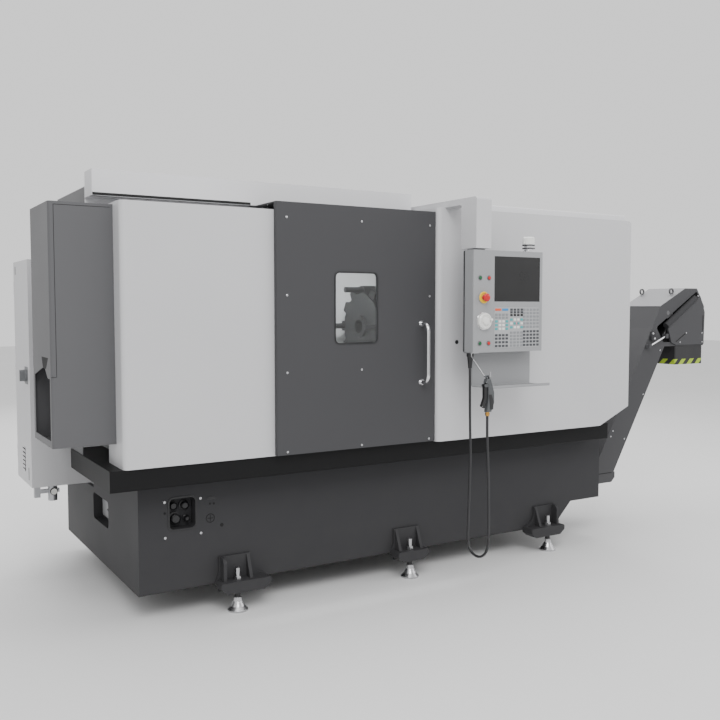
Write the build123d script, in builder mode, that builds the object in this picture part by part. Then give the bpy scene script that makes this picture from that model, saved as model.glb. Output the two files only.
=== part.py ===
from build123d import *
import os
from math import cos, pi, radians, sin, tan

# A slant-bed turning lathe in a sheet-metal enclosure, with a swing-out control
# and a chip conveyor. Millimetres; the front faces -Y and +X runs to the conveyor.
# The origin is on the floor, in the middle of the machine's length and depth.

# Widths along the front, from the spindle end to the conveyor
end_cabinet_width = 274.0
left_panel_width = 725.0
door_width = 921.0
door_gap = 4.0
right_panel_width = 1450.0
conveyor_stand_out = 1214.0

# Depths, from the air gun's hook at the front to the rear levelling pads
hook_reach = 60.0
tray_stand_out = 61.0
pendant_stand_out = 260.0
door_recess = 20.0
left_panel_recess = 50.0
sill_recess = 60.0
end_cabinet_recess = 160.0
base_recess = 205.0
base_depth = 1435.0
front_foot_reach = 45.0
rear_foot_reach = 100.0
pad_radius = 50.0
header_setback = 240.0
header_depth = 130.0
enclosure_depth = 997.0
end_cabinet_depth = 390.0
sill_side_depth = 730.0

# Heights above the floor
base_bottom = 129.0
base_top = 660.0
ledge_top = 500.0
raised_bottom = 262.0
sill_top = 757.0
end_cabinet_bottom = 860.0
roof_top = 2026.0

# Drops and rises of the upper edges from the roof
right_panel_drop = 36.0
left_panel_drop = 96.0
door_drop = 59.0
end_cabinet_drop = 106.0
header_drop = 54.0
header_rise = 64.0

# Sheet metal
sheet = 3.0
bend = 6.0
soft_edge = 26.0
seat_gap = 0.3

# Spindle line and slanted bed
spindle_height = 1130.0
spindle_setback = 440.0
slant_angle = 45.0
guide_drop = 300.0
rail_spacing = 350.0
rail_width = 44.0
rail_height = 38.0
lower_rail = -150.0

# Derived places
overall_length = (end_cabinet_width + left_panel_width + door_width + door_gap
                  + right_panel_width + conveyor_stand_out)
overall_depth = (hook_reach + tray_stand_out + pendant_stand_out + base_recess
                 + base_depth + rear_foot_reach + pad_radius)
left_end = -overall_length / 2
right_end = overall_length / 2
panel_left = left_end + end_cabinet_width
door_left = panel_left + left_panel_width
right_panel_left = door_left + door_width + door_gap
right_panel_right = right_panel_left + right_panel_width
tray_front = -overall_depth / 2 + hook_reach
pendant_front = tray_front + tray_stand_out
right_panel_front = pendant_front + pendant_stand_out
door_front = right_panel_front + door_recess
left_panel_front = right_panel_front + left_panel_recess
sill_front = right_panel_front + sill_recess
end_cabinet_front = right_panel_front + end_cabinet_recess
base_front = right_panel_front + base_recess
base_back = base_front + base_depth
header_front = left_panel_front + header_setback
header_back = header_front + header_depth
enclosure_back = right_panel_front + enclosure_depth
spindle_y = right_panel_front + spindle_setback
right_panel_top = roof_top - right_panel_drop
left_panel_top = roof_top - left_panel_drop
door_top = roof_top - door_drop
end_cabinet_top = roof_top - end_cabinet_drop
header_bottom = roof_top - header_drop
header_top = roof_top + header_rise

slant_plane = Plane(
    origin=(0, spindle_y, spindle_height),
    x_dir=(1, 0, 0),
    z_dir=(0, -sin(radians(slant_angle)), cos(radians(slant_angle))),
)


def across_slant(x):
    """A plane square to the spindle line at x: its first axis runs up the slant and
    its second one away from the bed, both measured from the spindle line."""
    return Plane(
        origin=(x, spindle_y, spindle_height),
        x_dir=(0, cos(radians(slant_angle)), sin(radians(slant_angle))),
        z_dir=(1, 0, 0),
    )


def front_view(y):
    """An upright plane at depth y, seen from the front; its normal points forward."""
    return Plane.XZ.offset(-y)


def side_view(x):
    """An upright plane at x, seen from the right end; its normal points to +X."""
    return Plane.YZ.offset(x)


def block(x, y, z, mode=Mode.ADD):
    """A block between the low and high ends given for each axis."""
    with Locations(((x[0] + x[1]) / 2, (y[0] + y[1]) / 2, (z[0] + z[1]) / 2)):
        Box(x[1] - x[0], y[1] - y[0], z[1] - z[0], mode=mode)


def outline(plane, points, radius=0.0):
    """A closed straight-sided outline on a plane, its corners rounded if asked."""
    with BuildSketch(plane) as shape:
        with BuildLine():
            Polyline(*points, close=True)
        make_face()
        if radius:
            fillet(shape.vertices(), radius)
    return shape.sketch


def folded_sheet(plane, points, thickness=sheet, radius=bend, side=Side.RIGHT):
    """The section of a folded sheet: its thickness lies to one side of the points."""
    with BuildSketch(plane) as section:
        with BuildLine():
            FilletPolyline(*points, radius=radius)
            offset(amount=thickness, side=side)
        make_face()
    return section.sketch


# Base casting: deep box with a lower rear ledge, a conveyor tunnel and a chip well
base_left_inset = 104.0
base_right_inset = 24.0
base_corner = 12.0
ledge_setback = 10.0
raised_length = 403.0
conveyor_inset = 185.0
conveyor_width = 320.0
conveyor_clearance = 8.0
conveyor_bottom = 290.0
conveyor_floor_top = 470.0
tunnel_start = 656.0
well_start = 110.0
well_margin = 30.0
access_inset = 148.0
access_width = 128.0
access_bottom = 425.0
access_height = 148.0
access_depth = 60.0
access_corner = 22.0
side_opening_start = 515.0
side_opening_length = 300.0
side_opening_bottom = 335.0
side_opening_height = 140.0
side_opening_depth = 50.0
base_left = panel_left + base_left_inset
base_right = right_panel_right - base_right_inset
ledge_front = enclosure_back + ledge_setback
foot_step = right_panel_right - raised_length
conveyor_front = base_front + conveyor_inset
conveyor_back = conveyor_front + conveyor_width
tunnel_left = base_left + tunnel_start
well_left = tunnel_left + well_start
access_centre = (base_left + access_inset + access_width / 2, access_bottom + access_height / 2)
side_opening_centre = (
    base_front + side_opening_start + side_opening_length / 2,
    side_opening_bottom + side_opening_height / 2,
)

with BuildPart() as base_casting:
    section = outline(
        side_view(base_left),
        [
            (base_front, base_bottom),
            (base_back, base_bottom),
            (base_back, ledge_top),
            (ledge_front, ledge_top),
            (ledge_front, base_top),
            (base_front, base_top),
        ],
        base_corner,
    )
    extrude(section, amount=base_right - base_left)
    right_foot = outline(
        front_view(base_back + 1),
        [
            (foot_step, base_bottom - 1),
            (base_right + 1, base_bottom - 1),
            (base_right + 1, raised_bottom),
            (foot_step + raised_bottom - base_bottom, raised_bottom),
        ],
    )
    extrude(right_foot, amount=base_depth + 2, mode=Mode.SUBTRACT)
    block(
        (tunnel_left, base_right + 1),
        (conveyor_front - conveyor_clearance, conveyor_back + conveyor_clearance),
        (conveyor_bottom - seat_gap, conveyor_floor_top + conveyor_clearance),
        Mode.SUBTRACT,
    )
    block(
        (well_left, foot_step),
        (conveyor_front + well_margin, conveyor_back - well_margin),
        (conveyor_floor_top, base_top + 1),
        Mode.SUBTRACT,
    )
    with BuildSketch(front_view(base_front)):
        with Locations(access_centre):
            RectangleRounded(access_width, access_height, access_corner)
    extrude(amount=-access_depth, mode=Mode.SUBTRACT)
    with BuildSketch(side_view(base_left)):
        with Locations(side_opening_centre):
            RectangleRounded(side_opening_length, side_opening_height, access_corner)
    extrude(amount=side_opening_depth, mode=Mode.SUBTRACT)

# Levelling brackets: cast shelves with a deep rounded lip, ribs and swept webs
foot_pitch = 1012.0
first_foot_inset = 470.0
foot_count = 3
bracket_width = 166.0
bracket_height = 169.0
bracket_drop = 33.0
bracket_back_thick = 14.0
lip_height = 56.0
lip_thick = 14.0
lip_side = 16.0
lip_corner_rise = 26.0
lip_corner_run = 34.0
lip_corner_radius = 9.0
lip_overhang = 42.0
shelf_thick = 22.0
inner_wing = 62.0
rib_thick = 17.0
rib_inset = 6.0
rib_overhang = 15.0
rib_nose = 30.0
web_drop = 42.0
web_sweep = 0.34
stud_radius = 12.0
stud_clearance = 0.5
first_foot = base_left + first_foot_inset
foot_positions = [first_foot + foot_pitch * place for place in range(foot_count)]
shelf_bottom = base_bottom - bracket_drop
shelf_top = shelf_bottom + lip_height
bracket_top = shelf_bottom + bracket_height


def swept_web(plane, inner_x, outer_x):
    """A web that sweeps from the upright edge of a bracket down to its shelf's end."""
    high = bracket_top - web_drop
    low_point = (inner_x + (outer_x - inner_x) * web_sweep, shelf_top + (high - shelf_top) * web_sweep)
    with BuildSketch(plane) as web:
        with BuildLine():
            Polyline((inner_x, high), (inner_x, shelf_top - 1), (outer_x, shelf_top - 1),
                     (outer_x, shelf_top))
            ThreePointArc((outer_x, shelf_top), low_point, (inner_x, high))
        make_face()
    return web.sketch


def levelling_bracket(foot_x, face, toward, reach, outer_side):
    """One cast bracket on the base's face; toward is -1 at the front and 1 at the rear.
    The outer side (-1, 0 or 1) has a full-height rib, and the inner one a longer shelf."""
    wing = {side: lip_side + (inner_wing if side == -outer_side and outer_side else 0.0)
            for side in (-1, 1)}
    shelf_left = foot_x - bracket_width / 2 - wing[-1]
    shelf_right = foot_x + bracket_width / 2 + wing[1]
    shelf_front = face + toward * (reach + lip_overhang)
    rib_front = face + toward * (reach + rib_overhang)
    back_front = face + toward * bracket_back_thick
    with BuildPart() as bracket:
        lip = outline(
            front_view(max(face, shelf_front)),
            [
                (shelf_left, shelf_top),
                (shelf_left, shelf_bottom + lip_corner_rise),
                (shelf_left + lip_corner_run, shelf_bottom),
                (shelf_right - lip_corner_run, shelf_bottom),
                (shelf_right, shelf_bottom + lip_corner_rise),
                (shelf_right, shelf_top),
            ],
            lip_corner_radius,
        )
        extrude(lip, amount=abs(shelf_front - face))
        block(
            (shelf_left + lip_corner_run, shelf_right - lip_corner_run),
            sorted((face - toward, shelf_front - toward * lip_thick)),
            (shelf_bottom - 1, shelf_top - shelf_thick),
            Mode.SUBTRACT,
        )
        block(
            (foot_x - bracket_width / 2, foot_x + bracket_width / 2),
            sorted((face, back_front)),
            (shelf_bottom, bracket_top),
        )
        for side in (-1, 1):
            edge_x = foot_x + side * bracket_width / 2
            web = swept_web(
                front_view(max(face, back_front)), edge_x - side, edge_x + side * (wing[side] - 2)
            )
            extrude(web, amount=bracket_back_thick)
            rib_left = min(edge_x - side * rib_inset, edge_x - side * (rib_inset + rib_thick))
            with BuildSketch(side_view(rib_left)):
                with BuildLine():
                    if side == outer_side:
                        FilletPolyline(
                            (face, bracket_top),
                            (rib_front, bracket_top),
                            (rib_front, shelf_top - 1),
                            radius=rib_nose,
                        )
                    else:
                        Polyline(
                            (face, bracket_top), (back_front, bracket_top), (rib_front, shelf_top - 1)
                        )
                    Polyline((rib_front, shelf_top - 1), (face, shelf_top - 1), (face, bracket_top))
                make_face()
            extrude(amount=rib_thick)
        with Locations((foot_x, face + toward * reach, shelf_top)):
            Cylinder(stud_radius + stud_clearance, 2 * shelf_thick + 2, mode=Mode.SUBTRACT)
    return bracket.part


foot_rows = ((base_front, -1, front_foot_reach), (base_back, 1, rear_foot_reach))
with BuildPart() as foot_brackets:
    for face, toward, reach in foot_rows:
        for place, foot_x in enumerate(foot_positions):
            add(levelling_bracket(foot_x, face, toward, reach, place - 1))

# Levelling screws with their nuts, on bell-shaped pads
stud_rise = 81.0
stud_top = base_bottom + stud_rise
pad_rim = 8.0
pad_neck_radius = 19.0
pad_neck_height = 66.0
nut_radius = 19.0
nut_height = 16.0

with BuildPart() as one_foot:
    with BuildSketch(Plane.XZ):
        with BuildLine():
            Polyline(
                (stud_radius, pad_neck_height),
                (0, pad_neck_height),
                (0, 0),
                (pad_radius, 0),
                (pad_radius, pad_rim),
                (pad_radius * 0.7, pad_neck_height * 0.36),
                (pad_radius * 0.46, pad_neck_height * 0.72),
                (pad_neck_radius, pad_neck_height),
                (stud_radius, pad_neck_height),
            )
        make_face()
    revolve(axis=Axis.Z)
    with Locations((0, 0, pad_neck_height)):
        Cylinder(
            stud_radius,
            stud_top - pad_neck_height,
            align=(Align.CENTER, Align.CENTER, Align.MIN),
        )
    for nut_bottom in (shelf_top, shelf_top - shelf_thick - nut_height):
        with BuildSketch(Plane.XY.offset(nut_bottom)):
            RegularPolygon(nut_radius, 6)
        extrude(amount=nut_height)
with BuildPart() as leveling_feet:
    with Locations([
        (foot_x, face + toward * reach, 0)
        for face, toward, reach in foot_rows
        for foot_x in foot_positions
    ]):
        add(one_foot.part)

# Slanted bed casting and its two guide rails
bed_start = 720.0
bed_end_inset = 80.0
bed_low = -200.0
bed_high = 300.0
bed_back_gap = 10.0
bed_left = panel_left + bed_start
bed_right = right_panel_right - bed_end_inset
bed_back = enclosure_back - bed_back_gap
bed_top_flat = 80.0
headstock_right = bed_left


def slant_point(up, out):
    """The (y, z) place of a point given up the slant and out from the bed."""
    tilt = radians(slant_angle)
    return (
        spindle_y + up * cos(tilt) - out * sin(tilt),
        spindle_height + up * sin(tilt) + out * cos(tilt),
    )


bed_low_point = slant_point(bed_low, -guide_drop)
bed_high_point = slant_point(bed_high, -guide_drop)
screw_stand_out = 32.0
screw_up = lower_rail + rail_spacing / 2
screw_out = -guide_drop + screw_stand_out
screw_radius = 18.0
screw_support_length = 44.0
screw_clearance = 0.4
support_half_width = 44.0
support_height = 62.0

with BuildPart() as slant_bed:
    section = outline(
        side_view(bed_left),
        [
            (bed_low_point[0], base_top),
            bed_low_point,
            bed_high_point,
            (bed_high_point[0] + bed_top_flat, bed_high_point[1]),
            (bed_back, bed_high_point[1] - (bed_back - bed_high_point[0] - bed_top_flat)),
            (bed_back, base_top),
        ],
    )
    extrude(section, amount=bed_right - bed_left)
    for support_x in (bed_left, bed_right - screw_support_length):
        support = outline(
            across_slant(support_x),
            [
                (screw_up - support_half_width, -guide_drop - 1),
                (screw_up + support_half_width, -guide_drop - 1),
                (screw_up + support_half_width * 0.7, -guide_drop + support_height),
                (screw_up - support_half_width * 0.7, -guide_drop + support_height),
            ],
        )
        extrude(support, amount=screw_support_length)
    with BuildSketch(across_slant(bed_left)):
        with Locations((screw_up, screw_out)):
            Circle(screw_radius + screw_clearance)
    extrude(amount=bed_right - bed_left, mode=Mode.SUBTRACT)

rail_end_inset = 12.0
rail_waist = 6.0
rail_left = bed_left + rail_end_inset
rail_right = bed_right - rail_end_inset

with BuildPart() as guide_rails:
    for rail_up in (lower_rail, lower_rail + rail_spacing):
        half = rail_width / 2
        waist = half - rail_waist
        section = outline(
            across_slant(rail_left),
            [
                (rail_up - half, -guide_drop),
                (rail_up + half, -guide_drop),
                (rail_up + half, -guide_drop + rail_height * 0.35),
                (rail_up + waist, -guide_drop + rail_height * 0.55),
                (rail_up + half, -guide_drop + rail_height * 0.75),
                (rail_up + half, -guide_drop + rail_height),
                (rail_up - half, -guide_drop + rail_height),
                (rail_up - half, -guide_drop + rail_height * 0.75),
                (rail_up - waist, -guide_drop + rail_height * 0.55),
                (rail_up - half, -guide_drop + rail_height * 0.35),
            ],
        )
        extrude(section, amount=rail_right - rail_left)

with BuildPart() as z_ball_screw:
    with BuildSketch(across_slant(bed_left)):
        with Locations((screw_up, screw_out)):
            Circle(screw_radius)
    extrude(amount=bed_right - bed_left)

# Headstock, hollow spindle with its draw cylinder, chuck and three jaws
headstock_inset = 20.0
headstock_boss = 190.0
headstock_reach = 145.0
headstock_back_gap = 55.0
headstock_left = base_left + headstock_inset
headstock_front = spindle_y - headstock_reach
headstock_back = bed_back - headstock_back_gap
spindle_radius = 60.0
spindle_clearance = 0.3
spindle_bore = 31.0
spindle_nose_radius = 95.0
spindle_nose_length = 44.0
nose_gap = 1.0
spindle_rear_inset = 64.0
spindle_rear = left_end + spindle_rear_inset
cylinder_radius = 84.0
cylinder_length = 168.0
cylinder_inset = 12.0
cylinder_edge = 12.0
chuck_radius = 127.0
chuck_length = 128.0
chuck_bore = 38.0
chuck_edge = 6.0
jaw_count = 3
jaw_width = 44.0
jaw_outer = 124.0
jaw_inner = 46.0
jaw_length = 56.0
jaw_step = 22.0
jaw_slot_width = 22.0
jaw_slot_depth = 14.0
jaw_slot_start = 10.0
jaw_clearance = 0.3
chuck_back = headstock_right + nose_gap + spindle_nose_length
chuck_face = chuck_back + chuck_length

with BuildPart() as headstock:
    tangent = headstock_boss * sin(pi / 4)
    slope_top = (spindle_y + tangent, spindle_height + tangent)
    section = outline(
        side_view(headstock_left),
        [
            (headstock_front, base_top),
            (headstock_back, base_top),
            (headstock_back, slope_top[1] - (headstock_back - slope_top[0])),
            slope_top,
            (spindle_y, spindle_height),
            (headstock_front, spindle_height),
        ],
    )
    extrude(section, amount=headstock_right - headstock_left)
    with BuildSketch(side_view(headstock_left)):
        with Locations((spindle_y, spindle_height)):
            Circle(headstock_boss)
    extrude(amount=headstock_right - headstock_left)
    with BuildSketch(side_view(headstock_left)):
        with Locations((spindle_y, spindle_height)):
            Circle(spindle_radius + spindle_clearance)
    extrude(amount=headstock_right - headstock_left, mode=Mode.SUBTRACT)

with BuildPart() as spindle_shaft:
    with BuildSketch(side_view(spindle_rear + cylinder_inset)):
        with Locations((spindle_y, spindle_height)):
            Circle(cylinder_radius)
    extrude(amount=cylinder_length)
    chamfer(spindle_shaft.edges().filter_by(GeomType.CIRCLE), cylinder_edge)
    with BuildSketch(side_view(spindle_rear)):
        with Locations((spindle_y, spindle_height)):
            Circle(spindle_radius)
    extrude(amount=chuck_back - spindle_rear)
    with BuildSketch(side_view(headstock_right + nose_gap)):
        with Locations((spindle_y, spindle_height)):
            Circle(spindle_nose_radius)
    extrude(amount=spindle_nose_length)
    with BuildSketch(side_view(spindle_rear)):
        with Locations((spindle_y, spindle_height)):
            Circle(spindle_bore)
    extrude(amount=chuck_back - spindle_rear, mode=Mode.SUBTRACT)

with BuildPart() as chuck_body:
    with BuildSketch(side_view(chuck_back)):
        with Locations((spindle_y, spindle_height)):
            Circle(chuck_radius)
            Circle(chuck_bore, mode=Mode.SUBTRACT)
    extrude(amount=chuck_length)
    chamfer(
        chuck_body.edges().filter_by(GeomType.CIRCLE).sort_by(SortBy.RADIUS)[-2:], chuck_edge
    )
    with BuildSketch(side_view(chuck_face)):
        with Locations((spindle_y, spindle_height)):
            with PolarLocations(0, jaw_count, start_angle=90):
                with Locations((chuck_radius / 2 + jaw_slot_start, 0)):
                    Rectangle(chuck_radius, jaw_slot_width)
    extrude(amount=-jaw_slot_depth, mode=Mode.SUBTRACT)

chuck_jaws = []
for jaw_number in range(jaw_count):
    jaw_turn = 360 / jaw_count * jaw_number
    with BuildPart() as chuck_jaw:
        with BuildSketch(Plane.XZ):
            with BuildLine():
                Polyline(
                    (jaw_clearance - jaw_slot_depth, jaw_inner),
                    (jaw_length, jaw_inner),
                    (jaw_length, jaw_inner + jaw_step),
                    (jaw_length - jaw_step, jaw_inner + jaw_step),
                    (jaw_length - jaw_step, jaw_inner + 2 * jaw_step),
                    (jaw_length - 1.6 * jaw_step, jaw_outer),
                    (jaw_clearance - jaw_slot_depth, jaw_outer),
                    close=True,
                )
            make_face()
        extrude(amount=jaw_width / 2, both=True)
        for side in (-1, 1):
            block(
                (-jaw_slot_depth - 1, jaw_clearance),
                sorted((side * (jaw_slot_width / 2 - jaw_clearance), side * jaw_width)),
                (0, 2 * chuck_radius),
                Mode.SUBTRACT,
            )
    jaw_place = Location((chuck_face, spindle_y, spindle_height), (jaw_turn, 0, 0))
    with BuildPart(jaw_place) as placed_jaw:
        add(chuck_jaw.part)
    chuck_jaws.append(placed_jaw)

# Carriage on the slanted rails, cross slide with the turret housing, turret, tools
turret_reach = 860.0
turret_thickness = 95.0
turret_radius = 190.0
turret_up = 320.0
turret_gap = 0.5
station_count = 12
carriage_length = 420.0
carriage_low = -205.0
carriage_high = 400.0
carriage_gap = 0.5
turret_back_room = 14.0
saddle_thick = 58.0
runner_half = 42.0
runner_length = 120.0
runner_lift = 6.0
nut_block_start = 150.0
nut_block_length = 110.0
nut_block_half = 34.0
nut_block_drop = 26.0
cross_rail_width = 34.0
cross_rail_height = 20.0
first_cross_rail = 70.0
last_cross_rail = 130.0
cross_rail_inset = 10.0
slide_low = -125.0
slide_high = 130.0
slide_thick = 62.0
housing_length = 290.0
housing_radius = 118.0
housing_foot_rise = 20.0
turret_left = bed_left + turret_reach
turret_right = turret_left + turret_thickness
carriage_left = turret_right + turret_gap + turret_back_room
carriage_right = carriage_left + carriage_length
saddle_bottom = -guide_drop + rail_height + carriage_gap
saddle_top = saddle_bottom + saddle_thick
cross_rail_top = saddle_top + cross_rail_height
slide_bottom = saddle_top + carriage_gap
slide_top = slide_bottom + slide_thick
cross_rails = (carriage_left + first_cross_rail, carriage_right - last_cross_rail)

with BuildPart(slant_plane) as carriage:
    block((carriage_left, carriage_right), (carriage_low, carriage_high), (saddle_bottom, saddle_top))
    for rail_up in (lower_rail, lower_rail + rail_spacing):
        for end in (carriage_left, carriage_right - runner_length):
            block(
                (end, end + runner_length),
                (rail_up - runner_half, rail_up + runner_half),
                (-guide_drop + runner_lift, saddle_bottom),
            )
        block(
            (carriage_left - 1, carriage_right + 1),
            (rail_up - rail_width / 2 - carriage_gap, rail_up + rail_width / 2 + carriage_gap),
            (-guide_drop, saddle_bottom),
            Mode.SUBTRACT,
        )
    block(
        (carriage_left + nut_block_start, carriage_left + nut_block_start + nut_block_length),
        (screw_up - nut_block_half, screw_up + nut_block_half),
        (screw_out - nut_block_drop, saddle_bottom),
    )
    with BuildSketch(across_slant(carriage_left)):
        with Locations((screw_up, screw_out)):
            Circle(screw_radius + screw_clearance)
    extrude(amount=carriage_length, mode=Mode.SUBTRACT)
    for cross_x in cross_rails:
        block(
            (cross_x - cross_rail_width / 2, cross_x + cross_rail_width / 2),
            (0, carriage_high - cross_rail_inset),
            (saddle_top, cross_rail_top),
        )

with BuildPart() as turret_slide:
    slide_start = turret_up + slide_low
    slide_end = turret_up + slide_high
    section = outline(
        across_slant(carriage_left),
        [
            (slide_start, slide_bottom),
            (slide_end, slide_bottom),
            (slide_end, slide_top),
            (turret_up + housing_radius, slide_top + housing_foot_rise),
            (turret_up + housing_radius, 0),
            (turret_up - housing_radius, 0),
            (turret_up - housing_radius, slide_top + housing_foot_rise),
            (slide_start, slide_top),
        ],
    )
    extrude(section, amount=housing_length)
    with BuildSketch(across_slant(turret_right + turret_gap)):
        with Locations((turret_up, 0)):
            Circle(housing_radius)
    extrude(amount=housing_length + carriage_left - turret_right - turret_gap)
    for cross_x in cross_rails:
        with BuildSketch(across_slant(cross_x - cross_rail_width / 2 - carriage_gap)):
            with Locations((turret_up, saddle_top + cross_rail_height / 2)):
                Rectangle(carriage_high - carriage_low, cross_rail_height + 2 * carriage_gap)
        extrude(amount=cross_rail_width + 2 * carriage_gap, mode=Mode.SUBTRACT)

turret_bore = 54.0
collar_radius = 64.0
collar_bore = 40.0
collar_reach = 18.0
collar_length = 24.0
block_height = 48.0
block_width = 58.0
block_length = 72.0
block_inset = 8.0
tool_reach = 17.0
tool_inset = 20.0
tool_size = 25.0
bar_length = 118.0
bar_radius = 16.0

with BuildPart() as turret_disc:
    with BuildSketch(across_slant(turret_left)):
        with Locations((turret_up, 0)):
            RegularPolygon(turret_radius, station_count, major_radius=False)
            Circle(turret_bore, mode=Mode.SUBTRACT)
    extrude(amount=turret_thickness)
    with BuildSketch(across_slant(turret_left - collar_reach)):
        with Locations((turret_up, 0)):
            Circle(collar_radius)
            Circle(collar_bore, mode=Mode.SUBTRACT)
    extrude(amount=collar_length)

with BuildPart() as tool_holders:
    with BuildSketch(across_slant(turret_left + block_inset)):
        with Locations((turret_up, 0)):
            with PolarLocations(0, station_count, start_angle=15):
                with Locations((turret_radius + block_height / 2, 0)):
                    Rectangle(block_height, block_width)
    extrude(amount=block_length)
    with BuildSketch(across_slant(turret_left + tool_inset)):
        with Locations((turret_up, 0)):
            with PolarLocations(0, station_count // 2, start_angle=15):
                with Locations((turret_radius + block_height + tool_reach / 2 - 1, 0)):
                    Rectangle(tool_reach + 2, tool_size)
    extrude(amount=tool_size)
    with BuildSketch(across_slant(turret_left + block_inset + 1)):
        with Locations((turret_up, 0)):
            with PolarLocations(0, station_count // 3, start_angle=45):
                with Locations((turret_radius + block_height / 2, 0)):
                    Circle(bar_radius)
    extrude(amount=-bar_length)

# Tailstock with its quill and 60 degree centre
tailstock_length = 360.0
tailstock_inset = 40.0
tailstock_boss = 92.0
tailstock_flare = 20.0
tailstock_waist = 130.0
quill_radius = 45.0
quill_clearance = 0.3
quill_reach = 80.0
quill_length = 370.0
quill_bore_wall = 30.0
tailstock_left = bed_right - tailstock_length - tailstock_inset
quill_left = tailstock_left - quill_reach
centre_length = quill_radius / tan(radians(30))
screw_channel = 60.0
screw_channel_height = 80.0

with BuildPart() as tailstock_body:
    upper_rail = lower_rail + rail_spacing
    section = outline(
        across_slant(tailstock_left),
        [
            (lower_rail - runner_half, -guide_drop + runner_lift),
            (screw_up - screw_channel, -guide_drop + runner_lift),
            (screw_up - screw_channel, -guide_drop + screw_channel_height),
            (screw_up + screw_channel, -guide_drop + screw_channel_height),
            (screw_up + screw_channel, -guide_drop + runner_lift),
            (upper_rail + runner_half, -guide_drop + runner_lift),
            (upper_rail + runner_half, saddle_top - tailstock_flare),
            (tailstock_boss + tailstock_flare, -guide_drop + tailstock_waist),
            (tailstock_boss, 0),
            (-tailstock_boss, 0),
            (-tailstock_boss - tailstock_flare, -guide_drop + tailstock_waist),
            (lower_rail - runner_half, saddle_top - tailstock_flare),
        ],
    )
    extrude(section, amount=tailstock_length)
    with BuildSketch(across_slant(tailstock_left)):
        Circle(tailstock_boss)
    extrude(amount=tailstock_length)
    for rail_up in (lower_rail, upper_rail):
        with BuildSketch(across_slant(tailstock_left)):
            with Locations((rail_up, -guide_drop + rail_height / 2)):
                Rectangle(rail_width + 2 * carriage_gap, rail_height + 2 * carriage_gap)
        extrude(amount=tailstock_length, mode=Mode.SUBTRACT)
    with BuildSketch(across_slant(tailstock_left)):
        Circle(quill_radius + quill_clearance)
    extrude(amount=tailstock_length - quill_bore_wall, mode=Mode.SUBTRACT)

with BuildPart() as quill:
    with BuildSketch(Plane.XY):
        with BuildLine():
            Polyline(
                (quill_left - centre_length, 0),
                (quill_left, quill_radius * 0.72),
                (quill_left, quill_radius),
                (quill_left + quill_length, quill_radius),
                (quill_left + quill_length, 0),
                close=True,
            )
        make_face()
    revolve(axis=Axis.X)
with BuildPart(Location((0, spindle_y, spindle_height))) as tailstock_quill:
    add(quill.part)

# Sill pan: a closed near-black ledge along the front with a wing at the spindle end
sill_left_reach = 60.0
sill_right_inset = 110.0
sill_rest = 35.0
sill_top_depth = 155.0
sill_edge = 5.0
sill_inner_height = 10.0
sill_left = panel_left - sill_left_reach
sill_right = right_panel_right - sill_right_inset
sill_inner = base_front + sill_rest
sill_bottom = base_top
wing_right = base_left - sill_edge

with BuildPart() as enclosure_pan:
    section = outline(
        side_view(sill_left),
        [
            (sill_front, sill_bottom + sill_edge),
            (sill_front + sill_edge, sill_bottom),
            (sill_inner, sill_bottom),
            (sill_inner, sill_bottom + sill_inner_height),
            (sill_front + sill_top_depth, sill_top),
            (sill_front, sill_top),
        ],
    )
    extrude(section, amount=sill_right - sill_left)
    block(
        (sill_left, wing_right),
        (sill_front + sill_edge + 1, sill_front + sill_side_depth),
        (sill_bottom, sill_top),
    )

# Left front panel: a shallow folded shell with a softly rounded outer edge
door_overlap = 30.0
left_panel_right = door_left + door_overlap

with BuildPart() as left_front_panel:
    block(
        (panel_left, left_panel_right),
        (left_panel_front, header_front),
        (sill_top, left_panel_top),
    )
    fillet(
        left_front_panel.edges().filter_by(Axis.Z).group_by(Axis.Y)[0].sort_by(Axis.X)[0],
        soft_edge,
    )
    offset(amount=-sheet, openings=left_front_panel.faces().sort_by(Axis.Y)[-1])

# Right front panel: rounded along the door, cut away at its lower outer corner
cut_width = 240.0
cut_height = 105.0

with BuildPart() as right_front_panel:
    section = outline(
        front_view(header_front),
        [
            (right_panel_left, sill_top),
            (right_panel_right - cut_width, sill_top),
            (right_panel_right, sill_top + cut_height),
            (right_panel_right, right_panel_top),
            (right_panel_left, right_panel_top),
        ],
    )
    extrude(section, amount=header_front - right_panel_front)
    corner = right_front_panel.edges().filter_by(Axis.Y).group_by(Axis.Z)[-1].sort_by(Axis.X)[-1]
    fillet(corner, soft_edge)
    front_edges = right_front_panel.edges().group_by(Axis.Y)[0].filter_by(Axis.Z)
    fillet(front_edges.sort_by(Axis.X)[0], soft_edge)
    offset(amount=-sheet, openings=right_front_panel.faces().sort_by(Axis.Y)[-1])

# Roof: a folded top with a lower step along the door track and a lintel over the door
wall_inset = 20.0
roof_left_inset = 4.0
track_overrun = 145.0
cover_setback = 35.0
roof_left = sill_left + roof_left_inset
roof_right = right_panel_right - wall_inset
track_end = right_panel_left + track_overrun
cover_front = right_panel_front + cover_setback
lintel_drop = 35.0

with BuildPart() as roof_panel:
    left_section = folded_sheet(
        side_view(roof_left),
        [
            (header_front, left_panel_top),
            (header_back, left_panel_top),
            (header_back, roof_top),
            (enclosure_back, roof_top),
        ],
    )
    extrude(left_section, amount=track_end - roof_left)
    right_section = folded_sheet(
        side_view(track_end),
        [
            (cover_front, right_panel_top),
            (cover_front, roof_top),
            (enclosure_back, roof_top),
        ],
    )
    extrude(right_section, amount=roof_right - track_end)
    lintel = folded_sheet(
        side_view(left_panel_right),
        [
            (left_panel_front, left_panel_top - lintel_drop),
            (left_panel_front, left_panel_top),
            (header_front + 1, left_panel_top),
        ],
    )
    extrude(lintel, amount=right_panel_left - left_panel_right)

# End and rear walls of the enclosure
end_cabinet_back = end_cabinet_front + end_cabinet_depth

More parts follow.
